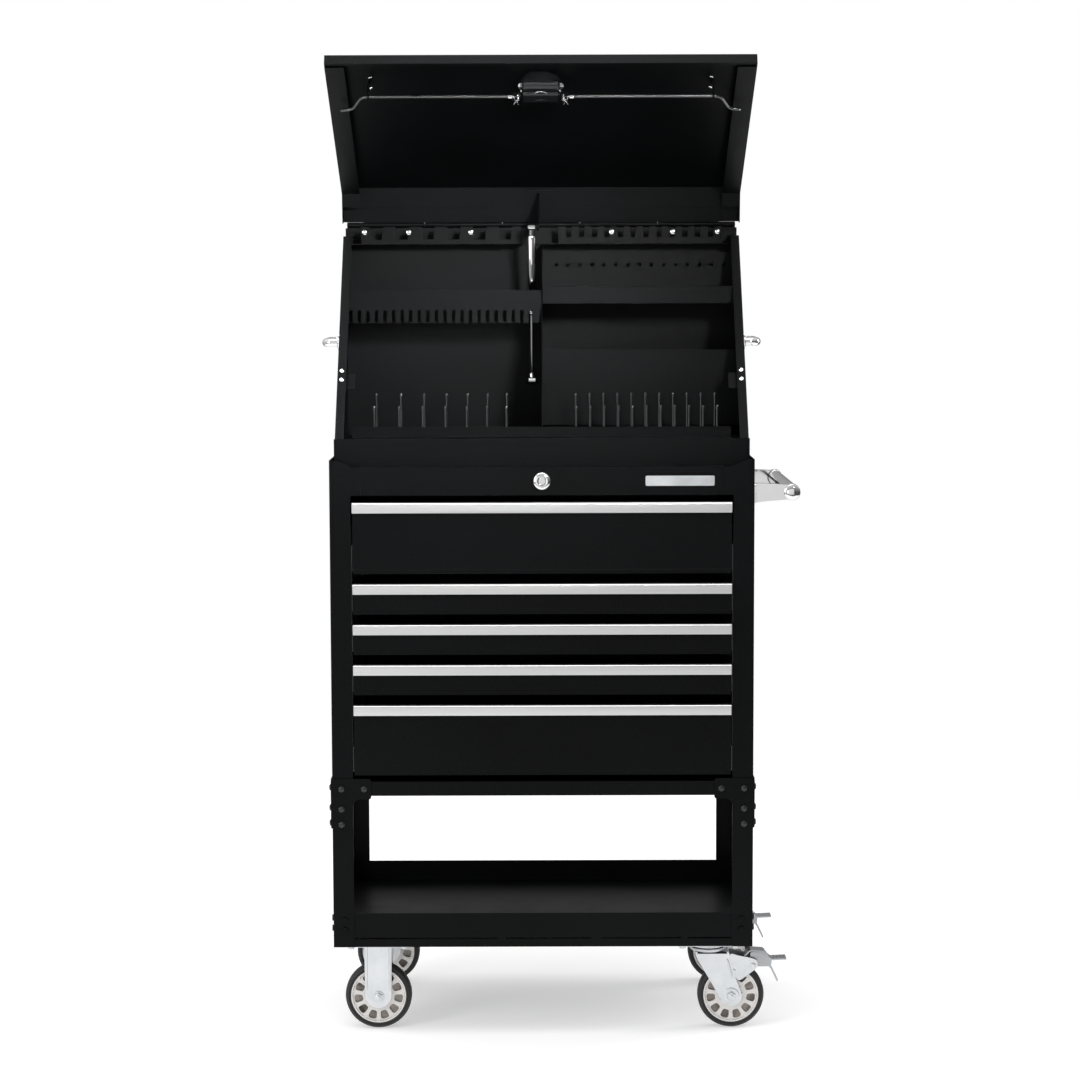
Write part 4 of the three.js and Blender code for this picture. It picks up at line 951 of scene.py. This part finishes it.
def clevis():
    """What the rod is pinned in: two ears, a bridge, a collar, a clevis pin, and the cotter's two
    legs."""
    near, far = ROD_DEEP - 5, ROD_DEEP + 5
    ears = [block((36.5, rise, near), (48, rise + 2.6, far), 2, "y")
            for rise in (ROD_UP - 7, ROD_UP + 4.4)]
    bridge = block((46.5, ROD_UP - 7, near), (51, ROD_UP + 7, far), 2, "x")
    pin = turned([(1, -7.6), (2.4, -7.4), (2.4, 7.4), (1, 7.6)], (40.5, ROD_UP, ROD_DEEP),
                 (0, 1, 0), 20)
    collar = turned([(3, 51), (5, 51), (5, 58), (3, 58)], (0, ROD_UP, ROD_DEEP), (1, 0, 0), 28)
    cotters = []
    for leg in (0, 1):
        line = [(40.5, ROD_UP + 6.2, ROD_DEEP + 3), (42 + 4 * leg, ROD_UP + 6.6, ROD_DEEP + 8),
                (40 + 8 * leg, ROD_UP + 6.6, ROD_DEEP + 13)]
        cotters.append(carried(softened(line, 3, 5), circle(0.8, 8), (0, 1, 0)))
    return opened(together(*ears, bridge, pin, collar, *cotters))


for name, facing in (("left", mirrored), ("right", together)):
    piece(f"{name}_lock_rod_bend", facing(lock_rod()), rod_steel_and_rail_shade, f"{name}_lock_rod",
          [f"{name}_lock_rod"])
    piece(f"{name}_clevis", facing(clevis()), chrome, f"{name}_lock_rod",
          bevel=0.3)

# %% [markdown]
# The latch is a pressed cup with a turn bar outside, and a cover inside with a barrel over its
# springs. The cover is black, so its shape is read from a few soft highlights on its rounds.

# %% Latch
LATCH_UP, BARREL_UP, BARREL_DEEP, COVER_HALF = 84.0, 61.0, 23.0, 31.0


def latch_housing():
    """The outer cup with its rolled flange, and the cover inside: a barrel over the hinge end and
    a bulged lower half, both drawn in (up, depth) and pushed across, between two side ears."""
    cup = [(44, -0.3), (43.6, -1.4), (42, -1.8), (35.5, -1.8), (33, -0.8), (32.5, 1.5), (32.5, 22.5),
           (5.4, 22.5), (5.4, 24), (34, 24), (34, -0.3)]
    cover = softened([(74, 23), (77, 32), (84, 34), (104, 33.4), (114, 28), (118, 23)], 5, 6)
    ear = softened([(52, 20), (50, 26), (56, 32), (72, 31), (112, 27), (117, 20)], 4, 5, closed=True)
    half = COVER_HALF
    barrel = [(1, -half), (10, -half), (10.8, 1 - half), (10.8, half - 1), (10, half), (1, half)]
    shells = [turned(cup, (0, LATCH_UP, 0), (0, 0, 1), 72, ring=True),
              turned(barrel, (0, BARREL_UP, BARREL_DEEP), (1, 0, 0), 48),
              pushed(cover, -half, half, "x"), pushed(ear, -half - 3, -half - 1, "x"),
              pushed(ear, half + 1, half + 3, "x")]
    mark = [(9 * cos(a), 99 - 5 * sin(a), 33.9) for a in np.linspace(0.2, pi - 0.2, 16)]
    taper = np.sin(np.linspace(0.15, pi - 0.15, 16))
    shells.append(carried(mark, circle(0.9, 10), (0, 0, 1), taper))
    return opened(together(*shells))


def latch_handle():
    """A turn bar with round ends in the cup, its shaft, and the cam that works the rods."""
    bar = block((-28, LATCH_UP - 6, 3), (28, LATCH_UP + 6, 14), 5.6, "z")
    shaft = turned([(5, 9), (5, 30)], (0, LATCH_UP, 0), (0, 0, 1), 32)
    cam = turned([(1, 26), (13, 26), (13, 31.5), (1, 31.5)], (0, LATCH_UP, 0), (0, 0, 1), 40)
    return opened(together(bar, shaft, cam))


piece("latch_cover", latch_housing(), black_bolt, "lid",
      ["latch_housing"], bevel=0.5)
piece("latch_turn_bar", latch_handle(), chrome, "latch_handle", ["latch_handle"],
      bevel=1.2)
bolts = []
for end in (-1, 1):
    bolts.append(hexagon((end * (COVER_HALF + 3), BARREL_UP, 24), (end, 0, 0), 6.4, 4.4))
    bolts.append(dome((end * (COVER_HALF + 7.2), BARREL_UP, 24), (end, 0, 0), 4.2, 2.4))
    bolts.append(dome((end * (COVER_HALF + 3), 77, 25), (end, 0, 0), 3.2, 2.2))
piece("latch_bolts", opened(together(*bolts)), chrome, "lid", bevel=0.3)

# %% Screws on the lid
lid_screws = [dome((x, up, 1.5), (0, 0, 1), 3.6, 1.6) for x in (-302, 302) for up in (72, 106)]
lid_screws += [dome((x, up, -1.8), (0, 0, -1), 2.6, 1.2)
               for x, up in ((-39, 84), (39, 84), (0, 123), (0, 45))]
piece("lid_screws", opened(together(*lid_screws)), chrome, "lid")
print("lid screws", len(lid_screws))

# %% [markdown]
# ## Gas strut
# One strut holds the lid: a bright tube at the lid's end, and a piston rod that slides into it
# from the foot. Each ends in an eye on a stud. The tube has a crimp and a wiper ring.

# %% Strut rod and tube
STRUT_LENGTH, TUBE_LENGTH = 293.874, 150.88
FOOT = (np.array(joints["strut_pivot"]["pos_m"]) - ORIGIN) * 1000
STRUT_AXIS = np.array(joints["strut_slide"]["axis"])
HEAD = FOOT + STRUT_LENGTH * STRUT_AXIS
ROD_LENGTH, TUBE_TOP = STRUT_LENGTH - TUBE_LENGTH + 6, STRUT_LENGTH - 16
TUBE_LOW = TUBE_TOP - TUBE_LENGTH


def eye(centre, radius, half):
    """The round eye at a strut's end."""
    profile = [(3, -half), (radius - 0.8, -half), (radius, -half + 0.8), (radius, half - 0.8),
               (radius - 0.8, half), (3, half)]
    return turned(profile, centre, (1, 0, 0), 36)


rod = turned([(2, 4), (4, 4), (4, ROD_LENGTH - 0.5), (3.5, ROD_LENGTH)], FOOT, STRUT_AXIS, 36)
collar = turned([(2, 5.5), (6.4, 5.5), (6.4, 13), (5.2, 15), (2, 15)], FOOT, STRUT_AXIS, 36)
piece("strut_piston_rod", together(rod, collar, eye(FOOT, 7.5, 7)), chrome, "strut_rod",
      ["strut_rod"])
tube = [(4.4, TUBE_LOW), (6.2, TUBE_LOW), (7.1, TUBE_LOW + 1.4), (7.5, TUBE_LOW + 4),
        (7.5, TUBE_LOW + 9), (6.9, TUBE_LOW + 10), (6.9, TUBE_LOW + 11.4), (7.5, TUBE_LOW + 12.6),
        (7.5, TUBE_TOP - 3), (6.6, TUBE_TOP - 0.6), (5, TUBE_TOP), (4.4, TUBE_TOP)]
NECK_LOW, NECK_TOP = TUBE_TOP - 1, STRUT_LENGTH - 4
neck = turned([(2, NECK_LOW), (5, NECK_LOW), (5, NECK_TOP), (2, NECK_TOP)], FOOT, STRUT_AXIS, 36)
cylinder = turned(tube, FOOT, STRUT_AXIS, 48, ring=True)
piece("strut_cylinder", together(cylinder, neck, eye(HEAD, 7, 7)), chrome, "strut_tube",
      ["strut_tube"])

# %% [markdown]
# ## Toolbox racks
# The pliers rack is a folded deck with rows of round wire pegs welded to it. Each peg is a rod
# with a domed tip and a small weld fillet at its foot.

# %% Pliers rack
low, high = node_mm("pliers_rack")
FRONT_PEG, REAR_PEG = 60.0, 80.0
DECK_TOP, DECK_Y = high[2] - REAR_PEG, (low[1], high[1])
PEG_ROWS = ((DECK_Y[0] + 20, FRONT_PEG), (DECK_Y[0] + 90, REAR_PEG))
PEG_X = [-304 + 45 * i - i * (i - 1) for i in range(7)] + [63 + 25.6 * i for i in range(11)]


def peg(x, y, height):
    """A turned peg: weld fillet, straight wire, and a domed cap."""
    tip = [(3.2 * cos(a), height - 3.2 + 3.2 * sin(a)) for a in np.radians([0, 25, 50, 72])]
    profile = [(3.8, -0.6), (3.4, 0.5), (2.6, 1.5), (2.2, 3.4), (2.2, height - 9), (3.2, height - 8.6)]
    profile += tip + [(0.2, height)]
    return turned(profile, (x, y, DECK_TOP), (0, 0, 1), 14)


deck_line = [(DECK_Y[0], low[2]), (DECK_Y[0], DECK_TOP), (DECK_Y[1], DECK_TOP), (DECK_Y[1], low[2])]
deck = pushed(folded(deck_line, 1.5, 3), low[0], high[0], "x")
pegs = [peg(x, y, height) for x in PEG_X for y, height in PEG_ROWS]
piece("pliers_rack_deck", deck, black_powder, "root", ["pliers_rack"],
      bevel=0.3)
piece("pliers_rack_pegs", together(*pegs), black_bolt, "root")

print("pegs", len(pegs))

# %% [markdown]
# A strip with punched notches stands in front of the top rack, in two lengths beside the strut.
# Its outline is one notch repeated at an even pitch. Round-headed screws hold it.

# %% Toothed strip of the top rack
low, high = node_mm("top_rack")
STRIP_LOW, STRIP_TOP = low[2], 1471.6
STRUT_WAY, STRIP_HALF = (-38.0, 32.0), 342.0


def toothed(x0, x1, pitch, notch, depth):
    """A strip's outline: its top edge drops into a notch with sloping sides at every pitch."""
    count = int((x1 - x0) // pitch)
    start = x0 + ((x1 - x0) - count * pitch + pitch - notch) / 2
    drop = np.array([(0, 0), (notch * 0.14, -depth), (notch * 0.86, -depth), (notch, 0)])
    notches = [drop + (start + i * pitch, STRIP_TOP) for i in range(count)]
    below = [(x1, STRIP_TOP), (x1, STRIP_LOW), (x0, STRIP_LOW)]
    outline = np.vstack([[(x0, STRIP_TOP)], *notches, below])
    return pushed(outline, low[1] - 0.2, low[1] + 1.3, "y")


teeth = [toothed(-STRIP_HALF, STRUT_WAY[0], 49, 26, 24),
         toothed(STRUT_WAY[1], STRIP_HALF, 24.5, 13, 20)]
piece("top_rack_teeth", together(*teeth), black_powder, "root", bevel=0.5)
SCREW_X = (-335, -251, -133, 134, 250, 335)
SCREW_Z = 1461.0
rack_screws = [dome((x, low[1] - 0.2, SCREW_Z), (0, -1, 0), 5.0, 2.4) for x in SCREW_X]
piece("rack_screws", together(*rack_screws), chrome, "root")
print("rack screws", len(rack_screws))

# %% Rivets of the strikes
# They are set nearly flush, since the closed lid's lip comes down half a millimetre over them.
RIM_DEEP = 22.0
rivets = [dome((side * 366, up, RIM_DEEP), (0, 0, -1), 4.0, 0.4) for side in (-1, 1)
          for up in (128, 147.6)]
piece("strike_rivets", opened(together(*rivets), 0), chrome, "root")
print("rivets", len(rivets))

# %% [markdown]
# A hinge is two leaves whose edges are rolled in turn round one pin. Five knuckles alternate
# between the leaves, so from in front only a row of short barrels shows under the lid.

# %% Hinge
low, high = node_mm("hinge_box_leaf")
KNUCKLE, KNUCKLES, HINGE_HALF = 5.1, 5, 371.0
PITCH = 2 * HINGE_HALF / KNUCKLES


def barrels(which):
    """Every other rolled knuckle, its ends rounded a little."""
    shells = []
    for i in range(which, KNUCKLES, 2):
        x0, x1 = -HINGE_HALF + i * PITCH + 0.3, -HINGE_HALF + (i + 1) * PITCH - 0.3
        profile = [(2.3, x0), (KNUCKLE - 0.6, x0), (KNUCKLE, x0 + 0.6), (KNUCKLE, x1 - 0.6),
                   (KNUCKLE - 0.6, x1), (2.3, x1)]
        shells.append(turned(profile, (0, *HINGE), (1, 0, 0), 36))
    return shells


box_leaf = block((-HINGE_HALF, high[1] - 1.5, low[2]), (HINGE_HALF, high[1], HINGE[1] - 1), 1, "y")
pin_line = [(0.4, -HINGE_HALF), (2.2, -HINGE_HALF), (2.2, HINGE_HALF), (0.4, HINGE_HALF)]
pin = turned(pin_line, (0, *HINGE), (1, 0, 0), 24)
piece("hinge_on_box", together(box_leaf, pin, *barrels(0)), black_powder, "root",
      ["hinge_box_leaf"], bevel=0.2)
leaf = block((low[0], HINGE[0] - 34, HINGE[1] - 3.3), (high[0], HINGE[0] - KNUCKLE, HINGE[1] - 1.8),
             2, "z")
points, faces = leaf
turned_leaf = np.column_stack([points[:, 0], lid_turned(points[:, 1:])]), faces
piece("hinge_on_lid", together(turned_leaf, *barrels(1)), black_powder, "lid",
      ["hinge_lid_leaf"], bevel=0.2)

# %% [markdown]
# ## Corner brackets and drawer creases
# Four folded brackets tie the cabinet to the stand. Each has two flat arms with rounded corners
# and eight bolts. Every drawer front has a pressed crease just over its lower edge, which catches
# a thin line of light.

# %% Corner brackets
BRACKET_OUT, ARM, ARM_END, CABINET_LOW = 2.3, 38.0, -308.0, cabinet_low[2]
BOLT_PLACES = ((17, 13), (58, 13), (17, -24), (17, -52))


def bracket_bolt(place, axis):
    """A low hexagon head, rounded off by a small dome."""
    place, axis = np.asarray(place, float), np.asarray(axis, float)
    return together(hexagon(place, axis, 6.2, 3.2), dome(place + axis * 3.0, axis, 4.6, 1.2))


def bracket(low, high):
    """The front-left bracket's two arms, drawn by the distance from the corner."""
    span = high[0] - low[0]
    outline = [(0, low[2]), (ARM + BRACKET_OUT, low[2]), (ARM + BRACKET_OUT, CABINET_LOW - 14),
               (ARM + BRACKET_OUT + 8, CABINET_LOW - 6), (span, CABINET_LOW - 6), (span, high[2]),
               (0, high[2])]
    arm = softened(outline, 5, 5, closed=True)
    edge = -SIDE - BRACKET_OUT
    return together(pushed(arm + (edge, 0), -BRACKET_OUT, -TOUCH, "y"),
                    pushed(arm + (-BRACKET_OUT, 0), edge, -SIDE - TOUCH, "x"))


def bracket_bolts():
    """The same bracket's eight bolts, four on each arm."""
    edge = -SIDE - BRACKET_OUT
    shells = []
    for across, rise in BOLT_PLACES:
        z = CABINET_LOW + rise
        shells.append(bracket_bolt((-SIDE + across, -BRACKET_OUT, z), (0, -1, 0)))
        shells.append(bracket_bolt((edge, across, z), (-1, 0, 0)))
    return together(*shells)


def to_rear(shell):
    """The same shell, facing backwards at the cabinet's back."""
    return shell[0] * (1, -1, 1) + (0, DEPTH, 0), shell[1]


low, high = node_mm("front_left_bracket")
front_left = bracket((-SIDE - BRACKET_OUT, 0, low[2]), (ARM_END - BRACKET_OUT, 0, high[2]))
for end in ("front", "rear"):
    for name, facing in (("left", together), ("right", mirrored)):
        plate, bolts = facing(front_left), facing(bracket_bolts())
        if end == "rear":
            plate, bolts = to_rear(plate), to_rear(bolts)
        corner = f"{end}_{name}_bracket"
        piece(f"{corner}_plate", plate, black_powder, "root", [corner],
              bevel=0.3)
        piece(f"{corner}_bolts", bolts, black_bolt, "root", bevel=0.3)

# %% Drawer creases
CREASE = [(0.05, -1.3), (-0.4, -0.8), (-0.7, 0), (-0.4, 0.8), (0.05, 1.3)]
for number in range(1, 6):
    low, high = node_mm(f"drawer_{number}_box")
    half = node_mm(f"drawer_{number}_pull")[1][0] - 2
    crease = pushed(np.array(CREASE) + (0, low[2] + 7), -half, half, "x")
    piece(f"drawer_{number}_crease", crease, black_powder, f"drawer_{number}")

# %% [markdown]
# ## Stage
# A pale floor disc under a white sky. A large soft panel stands to the left for the aluminium and
# chrome to reflect, and the side towards the camera is kept dim so the black steel stays black.

# %% Floor and sky
FLOOR_RADIUS, FLOOR_BELOW, FLOOR_SIDES = 2600.0, 0.6, 96
floor_finish = bpy.data.materials.new("pale_floor")
floor_finish.use_nodes = True
floor_surface = floor_finish.node_tree.nodes["Principled BSDF"]
floor_surface.inputs["Base Color"].default_value = (0.72, 0.72, 0.72, 1)
floor_surface.inputs["Emission Color"].default_value = (1, 1, 1, 1)
floor_surface.inputs["Emission Strength"].default_value = 0.44
floor_surface.inputs["Roughness"].default_value = 0.85
edge = np.insert(circle(FLOOR_RADIUS, FLOOR_SIDES), 2, -FLOOR_BELOW, axis=1)
floor_mesh = bpy.data.meshes.new("floor")
floor_mesh.from_pydata(placed(edge).tolist(), [], [list(range(FLOOR_SIDES))])
floor_mesh.materials.append(floor_finish)
floor = bpy.data.objects.new("floor", floor_mesh)
bpy.context.scene.collection.objects.link(floor)


def build_world():
    """White where the camera looks past the object. For every other ray a dim room: brighter
    overhead and to the left, darker towards the front and the floor."""
    world = bpy.data.worlds.new("studio")
    world.use_nodes = True
    tree = world.node_tree
    tree.nodes.clear()
    output = node(tree, "ShaderNodeOutputWorld")
    white = node(tree, "ShaderNodeBackground")
    white.inputs["Color"].default_value = (1, 1, 1, 1)
    white.inputs["Strength"].default_value = 1.0
    room = node(tree, "ShaderNodeBackground")
    place = node(tree, "ShaderNodeTexCoord")
    split = node(tree, "ShaderNodeSeparateXYZ")
    tree.links.new(place.outputs["Generated"], split.inputs[0])
    up = ranged(tree, split.outputs["Z"], 0.10, 0.95, -0.1, 0.9)
    left = ranged(tree, split.outputs["X"], 0.55, 0.0, -1.0, 0.2)
    back = ranged(tree, split.outputs["Y"], 0.0, 0.06, -0.2, 0.8)
    tree.links.new(combined(tree, "ADD", combined(tree, "ADD", up, left), back), room.inputs["Strength"])
    rays = node(tree, "ShaderNodeLightPath")
    mix = node(tree, "ShaderNodeMixShader")
    tree.links.new(rays.outputs["Is Camera Ray"], mix.inputs[0])
    tree.links.new(room.outputs[0], mix.inputs[1])
    tree.links.new(white.outputs[0], mix.inputs[2])
    tree.links.new(mix.outputs[0], output.inputs[0])
    bpy.context.scene.world = world


build_world()


# %% [markdown]
# Black steel shows only what it reflects. Two dim panels in front give the drawer fronts their
# grey, the lamp on the left lights the aluminium and chrome, and the one on the right draws a rim.

# %% Lamps
def softbox(name, place, target, size, power, spread=180):
    """An area lamp turned to face a point."""
    data = bpy.data.lights.new(name, "AREA")
    data.shape = "RECTANGLE"
    data.size, data.size_y = size
    data.energy = power
    data.spread = radians(spread)
    lamp = bpy.data.objects.new(name, data)
    lamp.location = place
    lamp.rotation_euler = (Vector(target) - Vector(place)).to_track_quat("-Z", "Y").to_euler()
    bpy.context.scene.collection.objects.link(lamp)
    return lamp


softbox("front_left_panel", (-1.35, -5.6, 0.7), (-0.6, 0, 0.9), (2.3, 1.8), 13)
softbox("front_right_panel", (0.65, -5.6, 0.7), (0.5, 0, 0.9), (1.6, 1.8), 6)
softbox("left_front", (-2.6, -2.6, 1.7), (0, -0.1, 0.8), (1.2, 2.0), 36)
softbox("overhead", (-0.3, -0.5, 3.4), (0, 0, 0.5), (2.4, 1.8), 42)
softbox("toolbox_fill", (0.9, -2.8, 2.2), (-0.26, 0.15, 1.34), (0.5, 0.5), 4, 22)
softbox("right_rim", (2.6, 0.8, 1.6), (0, 0, 0.9), (0.7, 1.8), 26)

lamps = [thing for thing in bpy.context.scene.objects if thing.type == "LIGHT"]
print("lamps", len(lamps), "watts", sum(lamp.data.energy for lamp in lamps))

# %% [markdown]
# A long lens from five metres in front, a little above the middle and tipped down, keeps the
# uprights nearly straight and still shows the tray's floor and the inside of the lid.

# %% Camera
lens = bpy.data.cameras.new("camera")
lens.lens, lens.sensor_width = 90.37, 36
camera = bpy.data.objects.new("camera", lens)
camera.location = (-0.0292, -5.0408, 1.37985)
camera.rotation_euler = (radians(84.417), radians(0.16), 0)
bpy.context.scene.collection.objects.link(camera)
bpy.context.scene.camera = camera
bpy.context.scene.view_settings.view_transform = "Standard"
